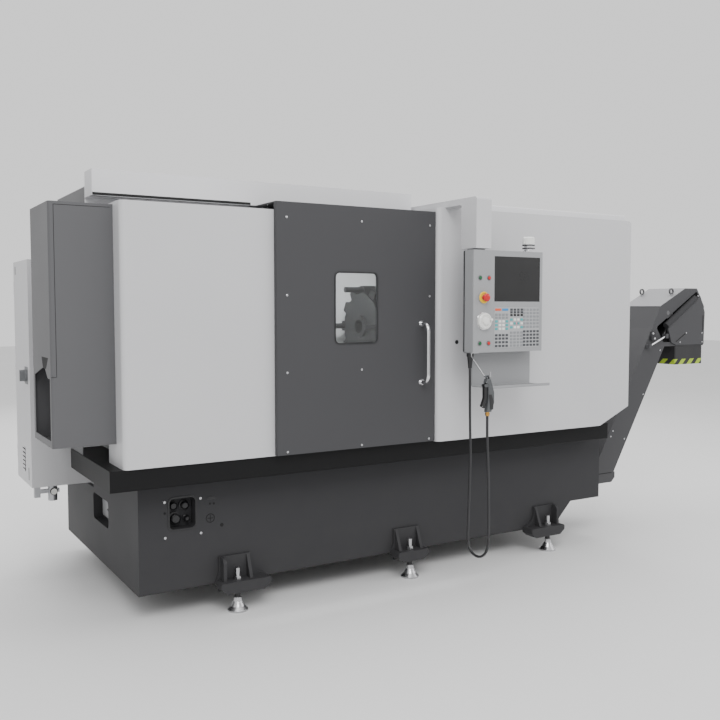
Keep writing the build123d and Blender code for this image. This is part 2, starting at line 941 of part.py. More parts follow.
with BuildPart() as left_end_wall:
    shape = outline(
        side_view(roof_left),
        [
            (end_cabinet_back, sill_top),
            (enclosure_back - sheet, sill_top),
            (enclosure_back - sheet, roof_top - sheet),
            (header_back + sheet + bend, roof_top - sheet),
            (header_back + sheet, roof_top - sheet - bend),
            (header_back + sheet, end_cabinet_top),
            (end_cabinet_back, end_cabinet_top),
        ],
    )
    extrude(shape, amount=sheet)

with BuildPart() as right_end_wall:
    shape = folded_sheet(
        Plane.XY.offset(base_top),
        [
            (right_panel_right - sheet, header_front),
            (roof_right - sheet, header_front),
            (roof_right - sheet, enclosure_back - sheet),
        ],
    )
    extrude(shape, amount=roof_top - sheet - base_top)

with BuildPart() as rear_wall:
    block(
        (roof_left, roof_right),
        (enclosure_back - sheet, enclosure_back),
        (base_top, roof_top - sheet),
    )

# Spindle-end cabinet: dark shell with a recess low on its outer side
recess_front = 30.0
recess_length = 330.0
recess_height = 300.0
notch_rise = 50.0
notch_start = 40.0
notch_end = 110.0
cabinet_edge = 14.0
recess_left = end_cabinet_front + recess_front
recess_bottom = end_cabinet_bottom + recess_front
recess_top = end_cabinet_bottom + recess_height

with BuildPart() as end_cabinet:
    block(
        (left_end, panel_left),
        (end_cabinet_front, end_cabinet_back),
        (end_cabinet_bottom, end_cabinet_top),
    )
    fillet(
        end_cabinet.edges().filter_by(Axis.Z).group_by(Axis.Y)[0].sort_by(Axis.X)[0], cabinet_edge
    )
    offset(amount=-sheet, openings=end_cabinet.faces().sort_by(Axis.X)[-1])
    with BuildSketch(side_view(left_end)):
        with BuildLine():
            Polyline(
                (recess_left, recess_bottom),
                (recess_left + recess_length, recess_bottom),
                (recess_left + recess_length, recess_top),
                (recess_left + notch_end, recess_top + notch_rise),
                (recess_left + notch_start, recess_top),
                (recess_left, recess_top),
                close=True,
            )
        make_face()
    extrude(amount=sheet, mode=Mode.SUBTRACT)

# Header box over the door track, slotted underneath, with the hanging rail in it
slot_setback = 22.0
slot_width = 46.0
header_edge = 5.0
rail_bar_width = 16.0
rail_bar_height = 30.0
rail_bar_rise = 38.0
rail_bar_setback = 8.0
hook_cap_height = 14.0
hook_cap_front = 4.0
slot_front = header_front + slot_setback
header_right = right_panel_left + door_overlap
rail_bar_bottom = header_bottom + rail_bar_rise
rail_bar_front = slot_front + rail_bar_setback
rail_bar_top = rail_bar_bottom + rail_bar_height
hanger_thick = 6.0
hanger_gap = 0.5
hanger_width = 120.0

with BuildPart() as header_box:
    block((roof_left, header_right), (header_front, header_back), (header_bottom, header_top))
    fillet(header_box.edges().filter_by(Axis.Z).group_by(Axis.Y)[0], header_edge)
    block(
        (roof_left + sheet, header_right - sheet),
        (header_front + sheet, header_back - sheet),
        (header_bottom + sheet, header_top - sheet),
        Mode.SUBTRACT,
    )
    block(
        (roof_left + header_edge, header_right - header_edge),
        (slot_front, slot_front + slot_width),
        (header_bottom - 1, header_bottom + sheet + 1),
        Mode.SUBTRACT,
    )
    block(
        (roof_left + 1, header_right - 1),
        (rail_bar_front, rail_bar_front + rail_bar_width),
        (rail_bar_bottom, rail_bar_top),
    )

# Sliding door: folded shell with a hanger return on top and a framed window
door_thick = 26.0
door_edge = 5.0
window_inset = 317.0
door_bottom = sill_top + door_gap
door_right = door_left + door_width
window_left = door_left + window_inset
window_width = 243.0
window_bottom = 1290.0
window_height = 350.0
window_corner = 24.0
glass_margin = 14.0
glass_thick = 6.0
glass_gap = 0.2
frame_depth = 16.0
window_centre = (window_left + window_width / 2, window_bottom + window_height / 2)
hanger_inset = 30.0
return_thick = 6.0
hanger_y = rail_bar_front + rail_bar_width + hanger_gap

with BuildPart() as sliding_door:
    block(
        (door_left, door_right),
        (door_front, door_front + door_thick),
        (door_bottom, door_top),
    )
    fillet(sliding_door.edges().filter_by(Axis.Z).group_by(Axis.Y)[0], door_edge)
    offset(amount=-sheet, openings=sliding_door.faces().sort_by(Axis.Y)[-1])
    block(
        (door_left + hanger_gap, door_right - hanger_gap),
        (door_front + sheet, hanger_y + hanger_thick),
        (door_top - return_thick, door_top),
    )
    for hanger_left in (door_left + hanger_inset, door_right - hanger_inset - hanger_width):
        block(
            (hanger_left, hanger_left + hanger_width),
            (hanger_y, hanger_y + hanger_thick),
            (door_top - return_thick, rail_bar_top + hook_cap_height),
        )
        block(
            (hanger_left, hanger_left + hanger_width),
            (rail_bar_front - hook_cap_front, hanger_y + hanger_thick),
            (rail_bar_top + hanger_gap, rail_bar_top + hook_cap_height),
        )
    with BuildSketch(front_view(door_front + 1)):
        with Locations(window_centre):
            RectangleRounded(
                window_width + 4 * glass_margin, window_height + 4 * glass_margin, window_corner
            )
    extrude(amount=-(frame_depth - 1))
    with BuildSketch(front_view(door_front)):
        with Locations(window_centre):
            RectangleRounded(window_width, window_height, window_corner)
    extrude(amount=-door_thick, mode=Mode.SUBTRACT)
    block(
        (window_left - glass_margin - glass_gap,
         window_left + window_width + glass_margin + glass_gap),
        (door_front + sheet, door_front + sheet + glass_thick + glass_gap),
        (window_bottom - glass_margin - glass_gap,
         window_bottom + window_height + glass_margin + glass_gap),
        Mode.SUBTRACT,
    )

with BuildPart() as door_window:
    with BuildSketch(front_view(door_front + sheet)):
        with Locations(window_centre):
            Rectangle(window_width + 2 * glass_margin, window_height + 2 * glass_margin)
    extrude(amount=-glass_thick)

# Chrome bow handle near the door's free edge
handle_inset = 88.0
handle_bottom = 1078.0
handle_top = 1385.0
handle_reach = 62.0
handle_radius = 10.0
handle_bend = 42.0
rose_radius = 17.0
rose_thick = 4.0
handle_x = door_right - handle_inset

with BuildPart() as door_handle:
    with BuildLine():
        FilletPolyline(
            (handle_x, door_front - rose_thick, handle_bottom),
            (handle_x, door_front - handle_reach, handle_bottom),
            (handle_x, door_front - handle_reach, handle_top),
            (handle_x, door_front - rose_thick, handle_top),
            radius=handle_bend,
        )
    with BuildSketch(front_view(door_front - rose_thick)):
        with Locations((handle_x, handle_bottom)):
            Circle(handle_radius)
    sweep()
    for rose_height in (handle_bottom, handle_top):
        with BuildSketch(front_view(door_front)):
            with Locations((handle_x, rose_height)):
                Circle(rose_radius)
        extrude(amount=rose_thick)

# Swing arm: a flat duct on the panel top that turns down to the control
arm_inset = 43.0
arm_width = 96.0
arm_depth = 122.0
arm_rise = 32.0
arm_front_edge = 16.0
arm_inner_edge = 10.0
arm_back_inset = 8.0
pendant_drop = 265.0
swivel_radius = 44.0
arm_left = right_panel_left + arm_inset
arm_top = right_panel_top + arm_rise
pendant_top = arm_top - pendant_drop
swivel_gap = 0.3
swivel_collar = 8.0
arm_bottom = pendant_top + swivel_collar + swivel_gap
arm_back = header_back - arm_back_inset
swivel_x = arm_left + arm_width / 2
swivel_y = pendant_front + arm_depth / 2

with BuildPart() as pendant_arm:
    section = outline(
        side_view(arm_left),
        [
            (pendant_front, arm_bottom),
            (pendant_front + arm_depth, arm_bottom),
            (pendant_front + arm_depth, right_panel_top),
            (arm_back, right_panel_top),
            (arm_back, arm_top),
            (pendant_front, arm_top),
        ],
    )
    extrude(section, amount=arm_width)
    front_top = pendant_arm.edges().filter_by(Axis.X).group_by(Axis.Y)[0].sort_by(Axis.Z)[-1]
    fillet(front_top, arm_front_edge)
    inner_corner = pendant_arm.edges().filter_by(Axis.X).filter_by(
        lambda edge: abs(edge.center().Z - right_panel_top) < 1
    ).sort_by(Axis.Y)[0]
    fillet(inner_corner, arm_inner_edge)

# Control housing with recesses for its screen, keypad and buttons
pendant_reach = 14.0
pendant_width = 462.0
pendant_height = 517.0
pendant_depth = 78.0
back_cover_depth = 16.0
back_cover_inset = 5.0
pendant_edge = 7.0
screen_inset = 133.0
screen_width = 308.0
screen_margin = 29.0
screen_height = 230.0
screen_recess = 5.0
keypad_inset = 134.0
keypad_width = 304.0
keypad_margin = 22.0
keypad_height = 206.0
keypad_thick = 2.0
keypad_corner = 8.0
button_radius = 8.0
button_clearance = 0.3
button_stem = 12.0
button_stand_out = 7.0
button_travel = 3.0
button_bore = button_stem + button_travel + 2.0
button_inset = 40.0
button_pitch = 57.0
upper_button_drop = 140.0
lower_button_rise = 47.0
estop_inset = 61.0
estop_drop = 239.0
estop_ring_radius = 30.0
estop_ring_thick = 5.0
estop_radius = 20.0
estop_stem_radius = 11.0
estop_stand_out = 38.0
estop_travel = 6.0
jog_inset = 65.0
jog_rise = 159.0
jog_radius = 41.0
jog_stem_radius = 12.0
jog_stand_out = 30.0
jog_gap = 3.0
pendant_left = arm_left - pendant_reach
pendant_right = pendant_left + pendant_width
pendant_bottom = pendant_top - pendant_height
pendant_back = pendant_front + pendant_depth + back_cover_depth
screen_left = pendant_left + screen_inset
screen_bottom = pendant_top - screen_margin - screen_height
keypad_left = pendant_left + keypad_inset
keypad_bottom = pendant_bottom + keypad_margin
button_column = pendant_left + button_inset
upper_buttons = pendant_top - upper_button_drop
lower_buttons = pendant_bottom + lower_button_rise
estop_x = pendant_left + estop_inset
estop_z = pendant_top - estop_drop
jog_x = pendant_left + jog_inset
jog_z = pendant_bottom + jog_rise
button_places = {
    "power_on_button": (button_column, upper_buttons),
    "power_off_button": (button_column + button_pitch, upper_buttons),
    "cycle_start_button": (button_column, lower_buttons),
    "feed_hold_button": (button_column + button_pitch, lower_buttons),
}

with BuildPart() as pendant_housing:
    block(
        (pendant_left, pendant_right),
        (pendant_front, pendant_front + pendant_depth),
        (pendant_bottom, pendant_top),
    )
    fillet(pendant_housing.edges().filter_by(Axis.Z), pendant_edge)
    block(
        (pendant_left + back_cover_inset, pendant_right - back_cover_inset),
        (pendant_front + pendant_depth, pendant_back),
        (pendant_bottom + back_cover_inset, pendant_top - back_cover_inset),
    )
    with Locations((swivel_x, swivel_y, pendant_top)):
        Cylinder(swivel_radius, swivel_collar, align=(Align.CENTER, Align.CENTER, Align.MIN))
    block(
        (screen_left, screen_left + screen_width),
        (pendant_front - 1, pendant_front + screen_recess),
        (screen_bottom, screen_bottom + screen_height),
        Mode.SUBTRACT,
    )
    with BuildSketch(front_view(pendant_front)):
        with Locations((keypad_left + keypad_width / 2, keypad_bottom + keypad_height / 2)):
            RectangleRounded(keypad_width, keypad_height, keypad_corner)
    extrude(amount=-keypad_thick / 2, mode=Mode.SUBTRACT)
    with BuildSketch(front_view(pendant_front)):
        with Locations(*button_places.values()):
            Circle(button_radius + button_clearance)
    extrude(amount=-button_bore, mode=Mode.SUBTRACT)
    with BuildSketch(front_view(pendant_front)):
        with Locations((estop_x, estop_z)):
            Circle(estop_ring_radius)
    extrude(amount=estop_ring_thick)
    with BuildSketch(front_view(pendant_front - estop_ring_thick)):
        with Locations((estop_x, estop_z)):
            Circle(estop_stem_radius + button_clearance)
    extrude(
        amount=-(estop_ring_thick + button_stem + estop_travel + 2), mode=Mode.SUBTRACT
    )
    with BuildSketch(front_view(pendant_front)):
        with Locations((jog_x, jog_z)):
            Circle(jog_stem_radius + button_clearance)
    extrude(amount=-(button_stem + 2), mode=Mode.SUBTRACT)

with BuildPart() as pendant_screen:
    block(
        (screen_left, screen_left + screen_width),
        (pendant_front + 2, pendant_front + screen_recess),
        (screen_bottom, screen_bottom + screen_height),
    )

with BuildPart() as pendant_keypad:
    with BuildSketch(front_view(pendant_front + keypad_thick / 2)):
        with Locations((keypad_left + keypad_width / 2, keypad_bottom + keypad_height / 2)):
            RectangleRounded(keypad_width, keypad_height, keypad_corner)
    extrude(amount=keypad_thick)

push_buttons = {}
for button_name, (button_x, button_z) in button_places.items():
    with BuildPart() as push_button:
        with BuildSketch(front_view(pendant_front + button_stem)):
            with Locations((button_x, button_z)):
                Circle(button_radius)
        extrude(amount=button_stem + button_stand_out)
        chamfer(push_button.edges().group_by(Axis.Y)[0], 1.5)
    push_buttons[button_name] = push_button

with BuildPart() as mushroom:
    with BuildSketch(Plane.XY):
        with BuildLine():
            Polyline(
                (0, button_stem),
                (estop_stem_radius, button_stem),
                (estop_stem_radius, -estop_stand_out + 18),
                (estop_radius, -estop_stand_out + 14),
                (estop_radius, -estop_stand_out + 7),
                (estop_radius * 0.8, -estop_stand_out + 2.5),
                (estop_radius * 0.45, -estop_stand_out + 0.6),
                (0, -estop_stand_out),
                close=True,
            )
        make_face()
    revolve(axis=Axis.Y)
with BuildPart(Location((estop_x, pendant_front, estop_z))) as estop_button:
    add(mushroom.part)

with BuildPart() as hand_wheel:
    with BuildSketch(Plane.XY):
        with BuildLine():
            Polyline(
                (0, button_stem),
                (jog_stem_radius, button_stem),
                (jog_stem_radius, -jog_gap),
                (jog_radius, -jog_gap),
                (jog_radius, -jog_gap - 12),
                (jog_radius - 7, -jog_gap - 17),
                (jog_radius * 0.55, -jog_gap - 13),
                (jog_radius * 0.45, -jog_stand_out + 4),
                (0, -jog_stand_out),
                close=True,
            )
        make_face()
    revolve(axis=Axis.Y)
    with Locations((jog_radius * 0.62, -jog_gap - 22, jog_radius * 0.2)):
        Cylinder(6.5, 22, rotation=(90, 0, 0))
with BuildPart(Location((jog_x, pendant_front, jog_z))) as jog_wheel:
    add(hand_wheel.part)

# Status beacon on the control, three rings under a clear cap
beacon_inset = 67.0
beacon_setback = 40.0
beacon_x = pendant_right - beacon_inset
beacon_y = pendant_front + beacon_setback
beacon_radius = 33.0
beacon_base_height = 42.0
beacon_cap_height = 38.0
beacon_cap_edge = 7.0

with BuildPart() as beacon_rings:
    with BuildSketch(Plane.XZ):
        with BuildLine():
            Polyline(
                (0, 0),
                (beacon_radius - 3, 0),
                (beacon_radius - 3, 8),
                (beacon_radius - 10, 10),
                (beacon_radius - 10, 14),
                (beacon_radius, 16),
                (beacon_radius, 24),
                (beacon_radius - 10, 26),
                (beacon_radius - 10, 30),
                (beacon_radius, 32),
                (beacon_radius, beacon_base_height),
                (0, beacon_base_height),
                close=True,
            )
        make_face()
    revolve(axis=Axis.Z)
with BuildPart(Location((beacon_x, beacon_y, pendant_top))) as beacon_base:
    add(beacon_rings.part)

with BuildPart() as beacon_cap:
    with Locations((beacon_x, beacon_y, pendant_top + beacon_base_height)):
        Cylinder(
            beacon_radius,
            beacon_cap_height,
            align=(Align.CENTER, Align.CENTER, Align.MIN),
        )
    chamfer(beacon_cap.edges().group_by(Axis.Z)[-1], beacon_cap_edge)

# Folded tool tray below the control, slotted along its shelf
tray_inset = 67.0
tray_drop = 180.0
tray_overlap = 60.0
tray_lip = 14.0
tray_slot_count = 15
tray_slot_pitch = 24.0
tray_slot_width = 11.0
tray_slot_length = 46.0
tray_slot_rows = 2
tray_row_pitch = 66.0
tray_left = pendant_left + tray_inset
tray_height = pendant_bottom - tray_drop

with BuildPart() as pendant_tray:
    section = folded_sheet(
        side_view(tray_left),
        [
            (tray_front, tray_height + tray_lip),
            (tray_front, tray_height),
            (pendant_back + sheet, tray_height),
            (pendant_back + sheet, pendant_bottom + tray_overlap),
        ],
        radius=4,
        side=Side.LEFT,
    )
    extrude(section, amount=pendant_right - tray_left)
    with BuildSketch(Plane.XY.offset(tray_height - sheet - 1)):
        with Locations(((tray_left + pendant_right) / 2, (tray_front + pendant_back) / 2)):
            with GridLocations(tray_slot_pitch, tray_row_pitch, tray_slot_count, tray_slot_rows):
                Rectangle(tray_slot_width, tray_slot_length)
    extrude(amount=2 * sheet + 2, mode=Mode.SUBTRACT)

# One plate under the control carries the hose gland and the air gun's wire hook
hook_radius = 3.0
hook_tip_height = 26.0
hook_drop = 114.0
hook_setback = 30.0
hook_tip_y = tray_front - hook_reach + hook_radius
plate_thick = 4.0
plate_half = 24.0
hose_radius = 6.5
fitting_inset = 26.0
fitting_setback = 58.0
gland_radius = 18.0
gland_height = 18.0
relief_length = 60.0
gun_shift = 14.0
gun_setback = 19.0
hook_height = pendant_bottom - hook_drop
hook_start_y = pendant_front + hook_setback
fitting_x = pendant_left + fitting_inset
fitting_y = pendant_front + fitting_setback
gland_bottom = pendant_bottom - plate_thick - gland_height
hose_exit = gland_bottom - relief_length
gun_x = fitting_x - gun_shift
gun_y = hook_tip_y + gun_setback
eye_radius = 6.0
eye_thick = 8.0

with BuildPart() as hose_fitting:
    block(
        (fitting_x - plate_half, fitting_x + plate_half),
        (hook_start_y - plate_half / 2, fitting_y + plate_half),
        (pendant_bottom - plate_thick, pendant_bottom),
    )
    with BuildSketch(Plane.XY.offset(pendant_bottom - plate_thick)):
        with Locations((fitting_x, fitting_y)):
            RegularPolygon(gland_radius, 6)
    extrude(amount=-gland_height)
    with BuildSketch(Plane.XY.offset(gland_bottom)):
        with Locations((fitting_x, fitting_y)):
            Circle(gland_radius * 0.8)
    with BuildSketch(Plane.XY.offset(hose_exit)):
        with Locations((fitting_x, fitting_y)):
            Circle(hose_radius + 2)
    loft()
    with BuildLine():
        FilletPolyline(
            (gun_x, hook_start_y, pendant_bottom - plate_thick),
            (gun_x, hook_start_y, pendant_bottom - plate_thick - 14),
            (gun_x, gun_y + 24, hook_height),
            (gun_x, hook_tip_y, hook_height),
            (gun_x, hook_tip_y, hook_height + hook_tip_height),
            radius=8,
        )
    with BuildSketch(Plane.XY.offset(pendant_bottom - plate_thick)):
        with Locations((gun_x, hook_start_y)):
            Circle(hook_radius)
    sweep()

# The hose is one loose loop: down from the gland, round, and up to the gun
gun_drop = 8.0
gun_top = hook_height - gun_drop
gun_height = 166.0
gun_thick = 30.0
gun_nipple_length = 20.0
gun_nipple_radius = 10.0
hose_end = gun_top - gun_height - gun_nipple_length
loop_drop = 953.0
loop_bottom = hose_exit - loop_drop
hose_route = [
    (fitting_x, fitting_y, hose_exit),
    (fitting_x, fitting_y, hose_exit - 120),
    (fitting_x + 6, fitting_y + 4, hose_exit - 270),
    (fitting_x + 7, fitting_y - 1, hose_exit - 440),
    (fitting_x + 4, fitting_y + 2, hose_exit - 610),
    (fitting_x - 2, fitting_y + 1, hose_exit - 770),
    (fitting_x - 7, fitting_y + 2, loop_bottom + 47),
    (fitting_x - 9, fitting_y - 45, loop_bottom),
    (gun_x + 6, gun_y + 46, loop_bottom),
    (gun_x + 11, gun_y - 1, loop_bottom + 47),
    (gun_x + 14, gun_y - 2, loop_bottom + 150),
    (gun_x + 15, gun_y + 2, loop_bottom + 300),
    (gun_x + 10, gun_y + 1, loop_bottom + 455),
    (gun_x, gun_y, loop_bottom + 610),
    (gun_x, gun_y, hose_end),
]
hose_corners = []
hose_vectors = [Vector(*point) for point in hose_route]
for before, here, after in zip(hose_vectors, hose_vectors[1:], hose_vectors[2:]):
    turn = (here - before).get_angle(after - here)
    shorter = min((here - before).length, (after - here).length)
    hose_corners.append(0.45 * shorter / tan(radians(turn) / 2))
print("hose bend radii:", [round(radius) for radius in hose_corners])

with BuildPart() as air_hose:
    with BuildLine() as hose_line:
        FilletPolyline(*hose_route, radius=hose_corners)
    with BuildSketch(Plane(
        origin=hose_route[0], z_dir=hose_vectors[1] - hose_vectors[0]
    )):
        Circle(hose_radius)
    sweep()
hose_length = sum(edge.length for edge in hose_line.edges())
print("hose length:", round(hose_length), "volume ratio:",
      round(air_hose.part.volume / (pi * hose_radius ** 2 * hose_length), 4))

# Blow gun with its hanging eye, two ears and a pin for the lever
lever_reach = 20.0
lever_drop = 34.0
lever_pivot_x = gun_x - lever_reach
lever_pivot_z = gun_top - lever_drop
lever_pin_radius = 3.0
lever_width = 16.0
lever_clearance = 0.05
ear_gap = 0.3
ear_thick = 4.0
ear_radius = 8.0

with BuildPart() as air_gun:
    gun_shape = outline(
        front_view(gun_y + gun_thick / 2),
        [
            (gun_x - 12, gun_top - 2),
            (gun_x + 10, gun_top),
            (gun_x + 20, gun_top - 26),
            (gun_x + 34, gun_top - 70),
            (gun_x + 34, gun_top - 120),
            (gun_x + 16, gun_top - gun_height),
            (gun_x - 12, gun_top - gun_height),
            (gun_x - 2, gun_top - 100),
            (gun_x - 4, gun_top - 34),
            (gun_x - 18, gun_top - 20),
        ],
    )
    extrude(gun_shape, amount=gun_thick)
    chamfer(air_gun.edges().filter_by(Axis.Y, reverse=True), 4)
    with BuildSketch(front_view(gun_y + eye_thick / 2)):
        with Locations((gun_x, hook_height - eye_radius + hook_radius + seat_gap)):
            Circle(eye_radius + 5)
    extrude(amount=eye_thick)
    with BuildSketch(front_view(gun_y + gun_thick / 2)):
        with Locations((gun_x, hook_height - eye_radius + hook_radius + seat_gap)):
            Circle(eye_radius)
    extrude(amount=gun_thick, mode=Mode.SUBTRACT)
    for side in (-1, 1):
        ear_y = sorted((
            side * (lever_width / 2 + ear_gap),
            side * (lever_width / 2 + ear_gap + ear_thick),
        ))
        with BuildSketch(front_view(gun_y + ear_y[1])):
            with Locations((lever_pivot_x, lever_pivot_z)):
                Circle(ear_radius)
            with Locations((lever_pivot_x + ear_radius, lever_pivot_z)):
                Rectangle(2 * ear_radius, 2 * ear_radius)
        extrude(amount=ear_thick)
    with BuildSketch(front_view(gun_y + lever_width / 2 + ear_gap + ear_thick)):
        with Locations((lever_pivot_x, lever_pivot_z)):
            Circle(lever_pin_radius)
    extrude(amount=lever_width + 2 * (ear_gap + ear_thick))
    with BuildSketch(Plane.XY.offset(gun_top - gun_height)):
        with Locations((gun_x, gun_y)):
            Circle(gun_nipple_radius)
    extrude(amount=-gun_nipple_length)

with BuildPart() as gun_trigger:
    lever_shape = outline(
        front_view(gun_y + lever_width / 2),
        [
            (lever_pivot_x - 6, lever_pivot_z + 6),
            (lever_pivot_x + 6, lever_pivot_z + 6),
            (gun_x - 9.5, lever_pivot_z - 8),
            (gun_x - 9.5, gun_top - 96),
            (gun_x - 24, gun_top - 146),
            (gun_x - 42, gun_top - 136),
            (gun_x - 26, gun_top - 96),
            (lever_pivot_x - 6, lever_pivot_z - 8),
        ],
    )
    extrude(lever_shape, amount=lever_width)
    with BuildSketch(front_view(gun_y + lever_width / 2)):
        with Locations((lever_pivot_x, lever_pivot_z)):
            Circle(lever_pin_radius + lever_clearance)
    extrude(amount=lever_width, mode=Mode.SUBTRACT)

# Chip conveyor housing: a floor run in the base, a 60 degree climb and a square head
climb_angle = 60.0
climb_depth = 175.0
foot_reach = 347.0
foot_corner = 30.0
climb_reach = 336.0
climb_start_height = 357.0
head_bottom = 1195.0
head_reach = 768.0
head_rise = 282.0
head_peak_run = 258.0
head_peak_rise = 127.0
head_peak_inset = 82.0
neck_rise = 130.0
trough_wall = 5.0
trough_drop = 5.0
trough_start = 20.0
lid_edge_drop = 150.0
lid_fit = 0.3
chute_start = 305.0
chute_inset = 12.0
chute_drop = 131.0
chute_thick = 6.0
foot_right = base_right + foot_reach
climb_start = base_right + climb_reach
head_left = base_right + head_reach
head_left_height = head_bottom + head_rise
head_peak_left = head_left + head_peak_run
head_peak = head_left_height + head_peak_rise
head_peak_right = right_end - head_peak_inset
neck_height = head_bottom + neck_rise
trough_top = conveyor_floor_top - trough_drop
trough_left = tunnel_left + trough_start
chute_left = right_end - chute_start
chute_right = right_end - chute_inset
chute_bottom = head_bottom - chute_drop
belt_outer = 50.0
belt_thick = 8.0
belt_side_gap = 0.5
belt_bend = 130.0
cleat_height = 20.0
cleat_thick = 8.0
cleat_pitch = 150.0
belt_floor_gap = 3.0
belt_tail_gap = 6.0
belt_line_height = conveyor_bottom + trough_wall + belt_floor_gap + cleat_height + belt_outer
drum_drop = 47.0
drum_height = head_left_height - drum_drop
drum_shaft_radius = 15.0
drum_gap = 0.4
side_cover_thick = 12.0
climb_slope = tan(radians(climb_angle))
side_shift = 1 / sin(radians(climb_angle))


def climb_x(height, inward):
    """Where a line set inward from the climb's underside passes a height."""
    return climb_start + (height - climb_start_height) / climb_slope - inward * side_shift


tension_reach = 58.0
tension_rise = 82.0
tension_low = (climb_x(head_bottom, climb_depth * 0.96), head_bottom)
tension_high = (head_left + tension_reach, head_bottom + tension_rise)
tension_rod_radius = 6.0
tension_stand_off = 22.0
lift_eye_radius = 22.0
lift_eye_bar = 8.0
lift_eye_thick = 9.0
lift_eye_inset = 30.0
lift_eye_run = 150.0
lift_eye_x = head_left + lift_eye_run
drum_x = climb_x(drum_height, climb_depth / 2)
trough_inside = (conveyor_front + trough_wall, conveyor_back - trough_wall)

with BuildPart() as conveyor_trough:
    housing = outline(
        front_view(conveyor_back),
        [
            (trough_left, conveyor_bottom),
            (foot_right - foot_corner, conveyor_bottom),
            (foot_right, conveyor_bottom + foot_corner),
            (foot_right, climb_start_height),
            (climb_start, climb_start_height),
            (climb_x(head_bottom, 0), head_bottom),
            (right_end - sheet - lid_fit, head_bottom),
            (right_end - sheet - lid_fit, head_left_height - 2),
            (head_peak_right - 2, head_peak - sheet - lid_fit),
            (head_peak_left + 1, head_peak - sheet - lid_fit),
            (head_left + 1, head_left_height - sheet - 1 - lid_fit),
            (climb_x(neck_height, climb_depth), neck_height),
            (climb_x(trough_top, climb_depth), trough_top),
            (trough_left, trough_top),
        ],
    )
    extrude(housing, amount=conveyor_width)
    hollow = outline(
        front_view(trough_inside[1]),
        [
            (trough_left + trough_wall, conveyor_bottom + trough_wall),
            (foot_right - foot_corner, conveyor_bottom + trough_wall),
            (foot_right - trough_wall, conveyor_bottom + foot_corner),
            (foot_right - trough_wall, climb_start_height - trough_wall),
            (climb_x(climb_start_height, trough_wall), climb_start_height),
            (climb_x(head_bottom, trough_wall), head_bottom + trough_wall),
            (right_end - sheet - trough_wall, head_bottom + trough_wall),
            (right_end - sheet - trough_wall, head_left_height - 4),
            (head_peak_right - 5, head_peak - sheet - trough_wall),
            (head_peak_left + 2, head_peak - sheet - trough_wall),
            (head_left + 6, head_left_height - 9),
            (climb_x(neck_height, climb_depth - trough_wall), neck_height),
            (climb_x(trough_top, climb_depth - trough_wall), trough_top),
            (trough_left + trough_wall, trough_top),
        ],
    )
    extrude(hollow, amount=trough_inside[1] - trough_inside[0], mode=Mode.SUBTRACT)
    block(
        (chute_left + chute_thick, chute_right - chute_thick),
        trough_inside,
        (head_bottom - 1, head_bottom + trough_wall + 1),
        Mode.SUBTRACT,
    )
    slot = outline(
        front_view(trough_inside[0] + 1),
        [
            (head_left - 34, neck_height + 5),
            (head_peak_right - 7, head_peak - 24),
            (head_peak_right + 24, head_peak - 52),
            (head_left + 68, neck_height + 15),
            (head_left + 112, head_bottom + 30),
            (head_left + 40, head_bottom + 30),
        ],
    )
    extrude(slot, amount=trough_wall + 2, mode=Mode.SUBTRACT)
    with BuildSketch(front_view(conveyor_back)):
        with Locations((drum_x, drum_height)):
            Circle(drum_shaft_radius + drum_gap)
    extrude(amount=conveyor_width, mode=Mode.SUBTRACT)
    cover = outline(
        front_view(conveyor_front),
        [
            (head_left + 66, neck_height + 12),
            (head_peak_right + 24, head_peak - 55),
            (right_end - 6, head_left_height - 43),
            (right_end - 12, head_bottom + 8),
            (chute_left, head_bottom + 8),
            (head_left + 112, head_bottom + 26),
        ],
        4,
    )
    extrude(cover, amount=side_cover_thick)
    rod_direction = Vector(
        tension_high[0] - tension_low[0], 0, tension_high[1] - tension_low[1]
    )
    with BuildSketch(Plane(
        origin=(tension_low[0], conveyor_front - tension_stand_off, tension_low[1]),
        z_dir=rod_direction,
    )):
        Circle(tension_rod_radius)
    extrude(amount=rod_direction.length)
    for share in (0.06, 0.9):
        at = Vector(tension_low[0], 0, tension_low[1]) + rod_direction * share
        block(
            (at.X - 12, at.X + 12),
            (conveyor_front - tension_stand_off - 14, conveyor_front),
            (at.Z - 16, at.Z + 16),
        )

with BuildPart() as conveyor_lid:
    lid = folded_sheet(
        front_view(conveyor_back),
        [
            (head_left, head_left_height),
            (head_peak_left, head_peak),
            (head_peak_right, head_peak),
            (right_end, head_left_height),
            (right_end, head_left_height - lid_edge_drop),
        ],
        radius=4,
    )
    extrude(lid, amount=conveyor_width)
    lift_eye_z = head_left_height + (head_peak - head_left_height) * (
        (lift_eye_x - head_left) / (head_peak_left - head_left)
    )
    for eye_y in (conveyor_front + lift_eye_inset, conveyor_back - lift_eye_inset):
        with BuildSketch(front_view(eye_y + lift_eye_thick / 2)):
            with Locations((lift_eye_x, lift_eye_z + lift_eye_radius + lift_eye_bar)):
                Circle(lift_eye_radius)
            with Locations((lift_eye_x, lift_eye_z + lift_eye_bar)):
                Rectangle(18, 24)
            with Locations((lift_eye_x, lift_eye_z + lift_eye_radius + lift_eye_bar)):
                Circle(lift_eye_radius - lift_eye_bar, mode=Mode.SUBTRACT)
        extrude(amount=lift_eye_thick)
    below_lid = outline(
        front_view(conveyor_back),
        [
            (head_left + 8, head_left_height + 1),
            (head_peak_left, head_peak - sheet),
            (head_peak_left, head_left_height + 1),
        ],
    )
    extrude(below_lid, amount=conveyor_width, mode=Mode.SUBTRACT)

with BuildPart() as chip_chute:
    block((chute_left, chute_right), (conveyor_front, conveyor_back), (chute_bottom, head_bottom))
    fillet(chip_chute.edges().filter_by(Axis.Z), 10)
    block(
        (chute_left + chute_thick, chute_right - chute_thick),
        (conveyor_front + chute_thick, conveyor_back - chute_thick),
        (chute_bottom - 1, head_bottom + 1),
        Mode.SUBTRACT,
    )

